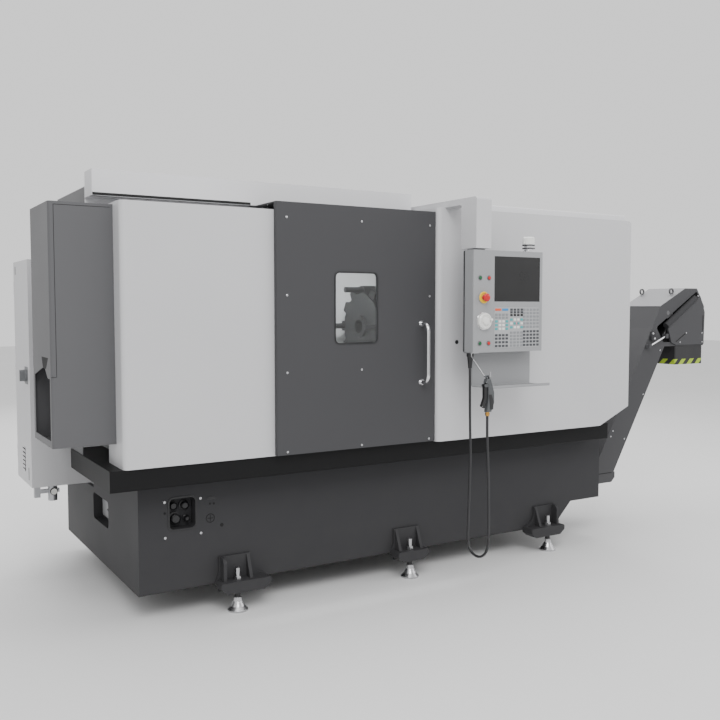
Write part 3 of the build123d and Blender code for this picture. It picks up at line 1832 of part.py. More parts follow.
belt_tail = trough_left + trough_wall + cleat_height + belt_outer + belt_tail_gap
belt_turn = climb_x(belt_line_height, climb_depth / 2)
belt_line = [(belt_tail, belt_line_height), (belt_turn, belt_line_height), (drum_x, drum_height)]
belt_width = trough_inside[1] - trough_inside[0] - 2 * belt_side_gap
belt_plane = front_view(trough_inside[1] - belt_side_gap)

with BuildPart() as conveyor_belt:
    with BuildSketch(belt_plane):
        with BuildLine():
            FilletPolyline(*belt_line, radius=belt_bend)
            offset(amount=belt_outer, side=Side.BOTH)
        make_face()
        with BuildLine():
            FilletPolyline(*belt_line, radius=belt_bend)
            offset(amount=belt_outer - belt_thick, side=Side.BOTH)
        make_face(mode=Mode.SUBTRACT)
    extrude(amount=belt_width)
    floor_run = belt_turn - belt_tail - 2 * belt_bend
    climb_vector = Vector(drum_x - belt_turn, drum_height - belt_line_height)
    climb_run = climb_vector.length - 2 * belt_bend
    cleat_offset = belt_outer + cleat_height / 2 - 1
    with BuildSketch(belt_plane):
        for side in (-1, 1):
            for place in range(int(floor_run / cleat_pitch)):
                with Locations((
                    belt_tail + 40 + place * cleat_pitch,
                    belt_line_height + side * cleat_offset,
                )):
                    Rectangle(cleat_thick, cleat_height + 2)
            for place in range(int(climb_run / cleat_pitch) + 1):
                along = (belt_bend + 40 + place * cleat_pitch) / climb_vector.length
                with Locations(Location(
                    (
                        belt_turn + climb_vector.X * along
                        - side * cleat_offset * sin(radians(climb_angle)),
                        belt_line_height + climb_vector.Y * along
                        + side * cleat_offset * cos(radians(climb_angle)),
                    ),
                    climb_angle,
                )):
                    Rectangle(cleat_thick, cleat_height + 2)
    extrude(amount=belt_width)

# Head drum on its shaft, and the gear motor behind the head that turns it
drum_shaft_reach = 60.0
gearbox_width = 130.0
gearbox_height = 190.0
gearbox_depth = 90.0
motor_radius = 62.0
motor_length = 190.0

with BuildPart() as conveyor_drum:
    with BuildSketch(front_view(trough_inside[1] - 4)):
        with Locations((drum_x, drum_height)):
            RegularPolygon(belt_outer - belt_thick - drum_gap, 8)
    extrude(amount=trough_inside[1] - trough_inside[0] - 8)
    with BuildSketch(front_view(conveyor_back + drum_shaft_reach)):
        with Locations((drum_x, drum_height)):
            Circle(drum_shaft_radius)
    extrude(amount=conveyor_width + drum_shaft_reach - 1)

with BuildPart() as conveyor_motor:
    block(
        (drum_x - gearbox_width / 2, drum_x + gearbox_width / 2),
        (conveyor_back, conveyor_back + gearbox_depth),
        (drum_height - gearbox_height + 70, drum_height + 70),
    )
    chamfer(conveyor_motor.edges().filter_by(Axis.Y), 18)
    with Locations(Location(
        (drum_x, conveyor_back + gearbox_depth, drum_height - 55), (-90, 0, 0)
    )):
        Cylinder(motor_radius, motor_length, align=(Align.CENTER, Align.CENTER, Align.MIN))
    with BuildSketch(front_view(conveyor_back + gearbox_depth)):
        with Locations((drum_x, drum_height)):
            Circle(drum_shaft_radius + drum_gap)
    extrude(amount=gearbox_depth, mode=Mode.SUBTRACT)

# Electrical cabinet on the rear ledge, its two doors, drives and main switch
cabinet_inset = 69.0
cabinet_width = 1600.0
cabinet_back_gap = 40.0
cabinet_depth = 420.0
cabinet_bottom = 524.0
cabinet_top = 1716.0
cabinet_frame = 28.0
cabinet_door_thick = 22.0
cabinet_door_gap = 2.0
cabinet_left = left_end + cabinet_inset
cabinet_front = enclosure_back + cabinet_back_gap
cabinet_right = cabinet_left + cabinet_width
cabinet_back = cabinet_front + cabinet_depth
shell_back = cabinet_back - cabinet_door_thick - seat_gap
plinth_inset = 20.0
switch_inset = 92.0
switch_z = 1110.0
switch_y = cabinet_front + switch_inset
switch_shaft_radius = 8.0
switch_radius = 32.0
switch_depth = 34.0
vent_slots = 6
vent_inset = 210.0
vent_rise = 126.0
vent_pitch = 22.0
vent_length = 90.0
vent_width = 8.0

with BuildPart() as electrical_cabinet:
    block((cabinet_left, cabinet_right), (cabinet_front, shell_back), (cabinet_bottom, cabinet_top))
    offset(amount=-sheet, openings=electrical_cabinet.faces().sort_by(Axis.Y)[-1])
    for side in ((cabinet_left, cabinet_left + cabinet_frame),
                 (cabinet_right - cabinet_frame, cabinet_right)):
        block(side, (shell_back - sheet, shell_back), (cabinet_bottom, cabinet_top))
    for edge in ((cabinet_bottom, cabinet_bottom + cabinet_frame),
                 (cabinet_top - cabinet_frame, cabinet_top)):
        block((cabinet_left, cabinet_right), (shell_back - sheet, shell_back), edge)
    block(
        (base_left + plinth_inset, cabinet_right - plinth_inset),
        (cabinet_front + plinth_inset, shell_back - plinth_inset),
        (ledge_top, cabinet_bottom),
    )
    with BuildSketch(side_view(cabinet_left)):
        with Locations((switch_y, switch_z)):
            Circle(switch_shaft_radius + 0.3)
        with Locations((cabinet_front + vent_inset, cabinet_bottom + vent_rise)):
            with GridLocations(0, vent_pitch, 1, vent_slots):
                Rectangle(vent_length, vent_width)
    extrude(amount=sheet, mode=Mode.SUBTRACT)

with BuildPart() as main_switch:
    with BuildSketch(side_view(cabinet_left + sheet + 20)):
        with Locations((switch_y, switch_z)):
            Circle(switch_shaft_radius)
    extrude(amount=-(sheet + 22))
    with BuildSketch(side_view(cabinet_left - 1)):
        with Locations((switch_y, switch_z)):
            Circle(switch_radius)
    extrude(amount=-10)
    with BuildSketch(side_view(cabinet_left - 11)):
        with Locations((switch_y, switch_z)):
            SlotOverall(2 * switch_radius - 4, 16, rotation=90)
    extrude(amount=-(switch_depth - 11))

cabinet_doors = {}
pull_inset = 60.0
pull_width = 34.0
pull_height = 150.0
pull_depth = 14.0
middle_x = (cabinet_left + cabinet_right) / 2
door_spans = {
    "cabinet_door_left": (cabinet_left + 1, middle_x - cabinet_door_gap / 2),
    "cabinet_door_right": (middle_x + cabinet_door_gap / 2, cabinet_right - 1),
}
for door_name, (span_left, span_right) in door_spans.items():
    with BuildPart() as cabinet_door:
        block(
            (span_left, span_right),
            (cabinet_back - cabinet_door_thick, cabinet_back),
            (cabinet_bottom + 1, cabinet_top - 1),
        )
        chamfer(cabinet_door.edges().group_by(Axis.Y)[-1], 4)
        offset(amount=-sheet, openings=cabinet_door.faces().sort_by(Axis.Y)[0])
        at_left = door_name.endswith("left")
        handle_side = span_right - pull_inset if at_left else span_left + pull_inset
        with BuildSketch(front_view(cabinet_back)):
            with Locations((handle_side, (cabinet_bottom + cabinet_top) / 2)):
                RectangleRounded(pull_width, pull_height, 10)
        extrude(amount=-pull_depth)
    cabinet_doors[door_name] = cabinet_door

drive_count = 6
drive_width = 110.0
drive_height = 380.0
drive_depth = 210.0
drive_pitch = 150.0
drive_start = 240.0
drive_top_drop = 180.0
plate_margin = 90.0
plate_thick = 4.0
relay_inset = 20.0
relay_depth = 86.0
relay_rise = 140.0
relay_height = 180.0
plate_back = cabinet_front + sheet
plate_front = plate_back + plate_thick

with BuildPart() as drive_modules:
    block(
        (cabinet_left + plate_margin, cabinet_right - plate_margin),
        (plate_back, plate_front),
        (cabinet_bottom + plate_margin, cabinet_top - plate_margin),
    )
    for number in range(drive_count):
        drive_left = cabinet_left + drive_start + number * drive_pitch
        block(
            (drive_left, drive_left + drive_width),
            (plate_front, plate_front + drive_depth),
            (cabinet_top - drive_top_drop - drive_height, cabinet_top - drive_top_drop),
        )
        block(
            (drive_left + relay_inset, drive_left + drive_width - relay_inset),
            (plate_front, plate_front + relay_depth),
            (cabinet_bottom + relay_rise, cabinet_bottom + relay_rise + relay_height),
        )

# Air preparation unit hung under the cabinet's spindle end
regulator_reach = 112.0
regulator_setback = 50.0
regulator_x = cabinet_left + regulator_reach
regulator_y = cabinet_front + regulator_setback

with BuildPart() as air_regulator:
    block(
        (cabinet_left + 18, cabinet_left + 48),
        (regulator_y - 12, regulator_y + 12),
        (cabinet_bottom - 62, cabinet_bottom),
    )
    block(
        (cabinet_left + 48, regulator_x + 34),
        (regulator_y - 10, regulator_y + 10),
        (cabinet_bottom - 42, cabinet_bottom - 22),
    )
    with Locations((regulator_x, regulator_y, cabinet_bottom - 6)):
        Cylinder(24, 78, align=(Align.CENTER, Align.CENTER, Align.MAX))

# Two coolant pumps standing on the rear ledge
pump_start = 936.0
pump_pitch = 300.0
pump_setback = 285.0
pump_flange_thick = 16.0
pump_neck_radius = 46.0
pump_neck_height = 90.0
first_pump = base_right - pump_start
pump_motor_bottom = ledge_top + pump_flange_thick + pump_neck_height
pump_places = [(first_pump + pump_pitch * place, base_back - pump_setback) for place in range(2)]
pump_flange = 95.0
pump_motor_radius = 72.0
pump_motor_height = 250.0

with BuildPart() as coolant_pumps:
    with Locations([(x, y, ledge_top) for x, y in pump_places]):
        Box(
            2 * pump_flange,
            2 * pump_flange,
            pump_flange_thick,
            align=(Align.CENTER, Align.CENTER, Align.MIN),
        )
    with Locations([(x, y, ledge_top + pump_flange_thick) for x, y in pump_places]):
        Cylinder(
            pump_neck_radius,
            pump_neck_height,
            align=(Align.CENTER, Align.CENTER, Align.MIN),
        )
    with Locations([(x, y, pump_motor_bottom) for x, y in pump_places]):
        Cylinder(
            pump_motor_radius,
            pump_motor_height,
            align=(Align.CENTER, Align.CENTER, Align.MIN),
        )
    chamfer(coolant_pumps.edges().filter_by(GeomType.CIRCLE).group_by(Axis.Z)[-1], 14)

# Each piece goes to its own file, named as the piece
pieces = {
    "base_casting": base_casting,
    "foot_brackets": foot_brackets,
    "leveling_feet": leveling_feet,
    "slant_bed": slant_bed,
    "guide_rails": guide_rails,
    "z_ball_screw": z_ball_screw,
    "headstock": headstock,
    "spindle_shaft": spindle_shaft,
    "chuck_body": chuck_body,
    "chuck_jaw_1": chuck_jaws[0],
    "chuck_jaw_2": chuck_jaws[1],
    "chuck_jaw_3": chuck_jaws[2],
    "carriage": carriage,
    "turret_slide": turret_slide,
    "turret_disc": turret_disc,
    "tool_holders": tool_holders,
    "tailstock_body": tailstock_body,
    "tailstock_quill": tailstock_quill,
    "enclosure_pan": enclosure_pan,
    "left_front_panel": left_front_panel,
    "right_front_panel": right_front_panel,
    "roof_panel": roof_panel,
    "left_end_wall": left_end_wall,
    "right_end_wall": right_end_wall,
    "rear_wall": rear_wall,
    "end_cabinet": end_cabinet,
    "header_box": header_box,
    "sliding_door": sliding_door,
    "door_window": door_window,
    "door_handle": door_handle,
    "pendant_arm": pendant_arm,
    "pendant_housing": pendant_housing,
    "pendant_screen": pendant_screen,
    "pendant_keypad": pendant_keypad,
    "estop_button": estop_button,
    "jog_wheel": jog_wheel,
    "beacon_base": beacon_base,
    "beacon_cap": beacon_cap,
    "pendant_tray": pendant_tray,
    "hose_fitting": hose_fitting,
    "air_hose": air_hose,
    "air_gun": air_gun,
    "gun_trigger": gun_trigger,
    "conveyor_trough": conveyor_trough,
    "conveyor_lid": conveyor_lid,
    "chip_chute": chip_chute,
    "conveyor_belt": conveyor_belt,
    "conveyor_drum": conveyor_drum,
    "conveyor_motor": conveyor_motor,
    "electrical_cabinet": electrical_cabinet,
    "main_switch": main_switch,
    "drive_modules": drive_modules,
    "air_regulator": air_regulator,
    "coolant_pumps": coolant_pumps,
    **push_buttons,
    **cabinet_doors,
}
os.makedirs("parts", exist_ok=True)
for name, piece in pieces.items():
    piece.part.label = name
    export_step(piece.part, f"parts/{name}.step")
print("pieces:", len(pieces))
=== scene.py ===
"""Looks of a slant-bed turning lathe with a swing-out control and a chip conveyor."""

import logging
import math
from dataclasses import dataclass, field
from enum import Enum
from typing import Iterable, Sequence, Tuple, Union

import bmesh
import bpy
from mathutils import Matrix, Vector


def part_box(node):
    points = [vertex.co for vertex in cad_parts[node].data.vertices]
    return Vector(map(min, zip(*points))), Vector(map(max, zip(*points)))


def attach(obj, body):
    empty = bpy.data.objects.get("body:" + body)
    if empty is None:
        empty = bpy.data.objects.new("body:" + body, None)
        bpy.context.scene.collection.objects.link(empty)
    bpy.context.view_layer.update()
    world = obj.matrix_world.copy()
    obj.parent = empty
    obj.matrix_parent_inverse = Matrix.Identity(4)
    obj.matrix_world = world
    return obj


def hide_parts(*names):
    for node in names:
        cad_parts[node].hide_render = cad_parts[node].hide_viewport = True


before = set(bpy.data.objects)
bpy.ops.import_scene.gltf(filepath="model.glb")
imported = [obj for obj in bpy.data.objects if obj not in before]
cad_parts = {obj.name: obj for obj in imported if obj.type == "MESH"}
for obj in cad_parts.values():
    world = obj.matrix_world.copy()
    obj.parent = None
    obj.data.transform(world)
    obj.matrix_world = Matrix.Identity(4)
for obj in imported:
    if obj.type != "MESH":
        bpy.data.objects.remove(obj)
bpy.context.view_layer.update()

log = logging.getLogger("lathe")

Color = Tuple[float, float, float]
Point = Tuple[float, float, float]
Flat = Tuple[float, float]

TINY = 1e-6
TURN = 2 * math.pi
STAND_OFF = 0.0006


class Axis(Enum):
    """The way that a turned or pressed shape points."""

    X = Matrix(((0, 0, 1), (1, 0, 0), (0, 1, 0)))
    FRONT = Matrix(((1, 0, 0), (0, 0, -1), (0, 1, 0)))
    REAR = Matrix(((-1, 0, 0), (0, 0, 1), (0, 1, 0)))
    LEFT = Matrix(((0, 0, -1), (-1, 0, 0), (0, 1, 0)))
    Z = Matrix.Identity(3)


def tone(red: int, green: int, blue: int) -> Color:
    """Linear colour of a screen colour given in 0 to 255."""
    return tuple(
        value / 255 / 12.92 if value < 11 else ((value / 255 + 0.055) / 1.055) ** 2.4
        for value in (red, green, blue)
    )


# Shared effects


class Effects:
    """Shader groups that several finishes share, each built once."""

    _built: dict[str, bpy.types.NodeTree] = {}

    @classmethod
    def _start(
        cls, name: str, inputs: Sequence[tuple[str, str, float]], outputs: Sequence[tuple[str, str]]
    ) -> tuple[bpy.types.NodeTree, bpy.types.Node, bpy.types.Node]:
        """Make an empty group with its sockets.

        Args:
            name: the group's name.
            inputs: name, socket type and default of each input.
            outputs: name and socket type of each output.

        Returns:
            The group, its input node and its output node.
        """
        group = bpy.data.node_groups.new(name, "ShaderNodeTree")
        for label, kind, default in inputs:
            socket = group.interface.new_socket(label, in_out="INPUT", socket_type=kind)
            if kind == "NodeSocketFloat":
                socket.default_value = default
        for label, kind in outputs:
            group.interface.new_socket(label, in_out="OUTPUT", socket_type=kind)
        start = group.nodes.new("NodeGroupInput")
        end = group.nodes.new("NodeGroupOutput")
        cls._built[name] = group
        return group, start, end

    @staticmethod
    def _noise(group: bpy.types.NodeTree, detail: float, scale: float = 1.0) -> bpy.types.Node:
        """Add a noise texture to a group."""
        noise = group.nodes.new("ShaderNodeTexNoise")
        noise.inputs["Detail"].default_value = detail
        noise.inputs["Scale"].default_value = scale
        return noise

    @classmethod
    def peel(cls) -> bpy.types.NodeTree:
        """Fine pebbled skin of a sprayed coat, and slow changes of tone over a panel."""
        if "sprayed_skin" in cls._built:
            return cls._built["sprayed_skin"]
        group, start, end = cls._start(
            "sprayed_skin",
            [("Grain Scale", "NodeSocketFloat", 700.0), ("Tone Scale", "NodeSocketFloat", 1.5)],
            [("Height", "NodeSocketFloat"), ("Tone", "NodeSocketFloat")],
        )
        place = group.nodes.new("ShaderNodeTexCoord")
        grain = cls._noise(group, 2.0)
        slow = cls._noise(group, 3.0)
        for node, label in ((grain, "Grain Scale"), (slow, "Tone Scale")):
            group.links.new(place.outputs["Object"], node.inputs["Vector"])
            group.links.new(start.outputs[label], node.inputs["Scale"])
        group.links.new(grain.outputs["Fac"], end.inputs["Height"])
        group.links.new(slow.outputs["Fac"], end.inputs["Tone"])
        return group

    @classmethod
    def lines(cls) -> bpy.types.NodeTree:
        """Drawn or turned lines along one way, for bare metal."""
        if "drawn_lines" in cls._built:
            return cls._built["drawn_lines"]
        group, start, end = cls._start(
            "drawn_lines",
            [
                ("Along X", "NodeSocketFloat", 8.0),
                ("Along Y", "NodeSocketFloat", 400.0),
                ("Along Z", "NodeSocketFloat", 400.0),
            ],
            [("Height", "NodeSocketFloat"), ("Streak", "NodeSocketFloat")],
        )
        place = group.nodes.new("ShaderNodeTexCoord")
        scale = group.nodes.new("ShaderNodeCombineXYZ")
        stretch = group.nodes.new("ShaderNodeVectorMath")
        stretch.operation = "MULTIPLY"
        noise = cls._noise(group, 3.0)
        for label, socket in (("Along X", "X"), ("Along Y", "Y"), ("Along Z", "Z")):
            group.links.new(start.outputs[label], scale.inputs[socket])
        group.links.new(place.outputs["Object"], stretch.inputs[0])
        group.links.new(scale.outputs["Vector"], stretch.inputs[1])
        group.links.new(stretch.outputs["Vector"], noise.inputs["Vector"])
        for label in ("Height", "Streak"):
            group.links.new(noise.outputs["Fac"], end.inputs[label])
        return group

    @classmethod
    def dust(cls) -> bpy.types.NodeTree:
        """Dust that lies on upward faces and gathers low down, broken up by noise."""
        if "settled_dust" in cls._built:
            return cls._built["settled_dust"]
        group, start, end = cls._start(
            "settled_dust",
            [("Amount", "NodeSocketFloat", 0.3), ("Fades At", "NodeSocketFloat", 0.9)],
            [("Mask", "NodeSocketFloat")],
        )
        place = group.nodes.new("ShaderNodeNewGeometry")
        split = group.nodes.new("ShaderNodeSeparateXYZ")
        facing = group.nodes.new("ShaderNodeSeparateXYZ")
        low = group.nodes.new("ShaderNodeMapRange")
        up = group.nodes.new("ShaderNodeMapRange")
        for node, values in (
            (low, {"From Min": 0.0, "To Min": 1.0, "To Max": 0.0}),
            (up, {"From Min": 0.2, "From Max": 1.0, "To Max": 0.7}),
        ):
            for label, value in values.items():
                node.inputs[label].default_value = value
        noise = cls._noise(group, 5.0, 9.0)
        add, patch, out = (group.nodes.new("ShaderNodeMath") for _ in range(3))
        add.operation = "MAXIMUM"
        patch.operation = out.operation = "MULTIPLY"
        link = group.links.new
        link(place.outputs["Position"], split.inputs["Vector"])
        link(place.outputs["Normal"], facing.inputs["Vector"])
        link(split.outputs["Z"], low.inputs["Value"])
        link(start.outputs["Fades At"], low.inputs["From Max"])
        link(facing.outputs["Z"], up.inputs["Value"])
        link(low.outputs["Result"], add.inputs[0])
        link(up.outputs["Result"], add.inputs[1])
        link(place.outputs["Position"], noise.inputs["Vector"])
        link(add.outputs["Value"], patch.inputs[0])
        link(noise.outputs["Fac"], patch.inputs[1])
        link(patch.outputs["Value"], out.inputs[0])
        link(start.outputs["Amount"], out.inputs[1])
        link(out.outputs["Value"], end.inputs["Mask"])
        return group


class Graph:
    """Short way to lay out one material's nodes round its shader."""

    def __init__(self, name: str) -> None:
        """Start a material with a Principled shader.

        Args:
            name: the material's name.
        """
        self.material = bpy.data.materials.new(name)
        self.material.use_nodes = True
        self.tree = self.material.node_tree
        self.shader = self.tree.nodes["Principled BSDF"]

    def node(self, kind: str, **values: object) -> bpy.types.Node:
        """Add a node and set its named inputs (underscores stand for spaces)."""
        made = self.tree.nodes.new(kind)
        for label, value in values.items():
            made.inputs[label.replace("_", " ")].default_value = value
        return made

    def group(self, tree: bpy.types.NodeTree, **values: float) -> bpy.types.Node:
        """Place a shared effect with this material's own values."""
        made = self.tree.nodes.new("ShaderNodeGroup")
        made.node_tree = tree
        for label, value in values.items():
            made.inputs[label.replace("_", " ")].default_value = value
        return made

    def link(self, source: bpy.types.NodeSocket, target: bpy.types.NodeSocket) -> None:
        """Join two sockets."""
        self.tree.links.new(source, target)

    def set(self, **values: object) -> None:
        """Set the shader's own sockets (underscores stand for spaces)."""
        for label, value in values.items():
            self.shader.inputs[label.replace("_", " ")].default_value = value

    def ramp(self, source: bpy.types.NodeSocket, low: Color, high: Color) -> bpy.types.NodeSocket:
        """Mix two colours by a mask."""
        mix = self.tree.nodes.new("ShaderNodeMix")
        mix.data_type = "RGBA"
        mix.inputs[6].default_value = (*low, 1.0)
        mix.inputs[7].default_value = (*high, 1.0)
        self.link(source, mix.inputs[0])
        return mix.outputs[2]

    def over(
        self, mask: bpy.types.NodeSocket, under: bpy.types.NodeSocket, top: Color
    ) -> bpy.types.NodeSocket:
        """Lay one colour over another by a mask."""
        mix = self.tree.nodes.new("ShaderNodeMix")
        mix.data_type = "RGBA"
        mix.inputs[7].default_value = (*top, 1.0)
        self.link(mask, mix.inputs[0])
        self.link(under, mix.inputs[6])
        return mix.outputs[2]

    def span(self, source: bpy.types.NodeSocket, low: float, high: float) -> bpy.types.NodeSocket:
        """Map a mask's usual reach onto a span of numbers."""
        made = self.node(
            "ShaderNodeMapRange", From_Min=0.3, From_Max=0.7, To_Min=low, To_Max=high
        )
        self.link(source, made.inputs["Value"])
        return made.outputs["Result"]

    def cover(
        self, color: bpy.types.NodeSocket, mask: bpy.types.NodeSocket, smooth: float, rough: float
    ) -> None:
        """Feed the shader's colour, and its roughness from a mask."""
        self.link(color, self.shader.inputs["Base Color"])
        self.link(self.span(mask, smooth, rough), self.shader.inputs["Roughness"])

    def bump(self, height: bpy.types.NodeSocket, strength: float, distance: float) -> None:
        """Raise the surface by a height mask, in metres."""
        made = self.node("ShaderNodeBump", Strength=strength, Distance=distance)
        self.link(height, made.inputs["Height"])
        self.link(made.outputs["Normal"], self.shader.inputs["Normal"])


# Finishes


@dataclass(frozen=True)
class SprayedCoat:
    """Powder coat or machine enamel."""

    name: str
    color: Color
    roughness: float = 0.45
    grain: float = 650.0
    relief: float = 0.00006
    drift: float = 0.05
    dust: float = 0.12
    gloss: float = 0.5

    def build(self) -> bpy.types.Material:
        """Make the material."""
        graph = Graph(self.name)
        graph.set(Specular_IOR_Level=self.gloss)
        skin = graph.group(Effects.peel(), Grain_Scale=self.grain, Tone_Scale=1.3)
        low = tuple(value * (1 - self.drift) for value in self.color)
        high = tuple(min(1.0, value * (1 + self.drift)) for value in self.color)
        base = graph.ramp(skin.outputs["Tone"], low, high)
        dust = graph.group(Effects.dust(), Amount=self.dust, Fades_At=0.75)
        color = graph.over(dust.outputs["Mask"], base, tone(168, 163, 152))
        graph.cover(color, skin.outputs["Tone"], self.roughness - 0.04, self.roughness + 0.05)
        graph.bump(skin.outputs["Height"], 0.35, self.relief)
        return graph.material


@dataclass(frozen=True)
class BareMetal:
    """Ground, turned, oiled or plated metal."""

    name: str
    color: Color
    roughness: float = 0.3
    lines: tuple[float, float, float] = (6.0, 500.0, 500.0)
    relief: float = 0.00002

    def build(self) -> bpy.types.Material:
        """Make the material."""
        graph = Graph(self.name)
        graph.set(Metallic=1.0)
        drawn = graph.group(
            Effects.lines(), Along_X=self.lines[0], Along_Y=self.lines[1], Along_Z=self.lines[2]
        )
        low = tuple(value * 0.82 for value in self.color)
        color = graph.ramp(drawn.outputs["Streak"], low, self.color)
        graph.cover(color, drawn.outputs["Streak"], self.roughness * 0.8, self.roughness * 1.3)
        graph.bump(drawn.outputs["Height"], 0.25, self.relief)
        return graph.material


@dataclass(frozen=True)
class Moulded:
    """Moulded plastic or rubber."""

    name: str
    color: Color
    roughness: float = 0.4
    grain: float = 1600.0
    relief: float = 0.00003

    def build(self) -> bpy.types.Material:
        """Make the material."""
        graph = Graph(self.name)
        skin = graph.group(Effects.peel(), Grain_Scale=self.grain, Tone_Scale=9.0)
        low = tuple(value * 0.92 for value in self.color)
        color = graph.ramp(skin.outputs["Tone"], low, self.color)
        graph.cover(color, skin.outputs["Tone"], self.roughness - 0.05, self.roughness + 0.06)
        graph.bump(skin.outputs["Height"], 0.3, self.relief)
        return graph.material


@dataclass(frozen=True)
class ClearPane:
    """Glass or clear plastic."""

    name: str
    color: Color
    roughness: float = 0.03
    passes: float = 0.9

    def build(self) -> bpy.types.Material:
        """Make the material."""
        graph = Graph(self.name)
        graph.set(Metallic=0.0, Transmission_Weight=self.passes, IOR=1.45)
        skin = graph.group(Effects.peel(), Grain_Scale=40.0, Tone_Scale=3.0)
        low = tuple(value * 0.96 for value in self.color)
        color = graph.ramp(skin.outputs["Tone"], low, self.color)
        graph.cover(color, skin.outputs["Tone"], self.roughness, self.roughness + 0.03)
        return graph.material


@dataclass(frozen=True)
class HazardStripes:
    """Slanted bright bands along the foot of a dark rubber skirt."""

    name: str
    dark: Color
    bright: Color
    pitch: float = 0.088
    top: float = 1.102

    def build(self) -> bpy.types.Material:
        """Make the material."""
        graph = Graph(self.name)
        place = graph.node("ShaderNodeNewGeometry")
        split = graph.node("ShaderNodeSeparateXYZ")
        graph.link(place.outputs["Position"], split.inputs["Vector"])
        across = self._sum(graph, split.outputs["X"], split.outputs["Y"], "SUBTRACT")
        slanted = self._sum(graph, across, split.outputs["Z"], "SUBTRACT")
        cycles = self._sum(graph, slanted, self.pitch, "DIVIDE")
        part = self._sum(graph, cycles, 0.0, "FRACT")
        band = self._sum(graph, part, 0.5, "GREATER_THAN")
        below = self._sum(graph, split.outputs["Z"], self.top, "LESS_THAN")
        mask = self._sum(graph, band, below, "MULTIPLY")
        color = graph.ramp(mask, self.dark, self.bright)
        skin = graph.group(Effects.peel(), Grain_Scale=900.0, Tone_Scale=6.0)
        graph.cover(color, skin.outputs["Tone"], 0.5, 0.62)
        graph.bump(skin.outputs["Height"], 0.3, 0.00005)
        return graph.material

    @staticmethod
    def _sum(
        graph: Graph,
        first: bpy.types.NodeSocket,
        second: Union[bpy.types.NodeSocket, float],
        operation: str,
    ) -> bpy.types.NodeSocket:
        """Work one sum on a mask and another mask or a number."""
        made = graph.node("ShaderNodeMath")
        made.operation = operation
        graph.link(first, made.inputs[0])
        if isinstance(second, float):
            made.inputs[1].default_value = second
        else:
            graph.link(second, made.inputs[1])
        return made.outputs["Value"]


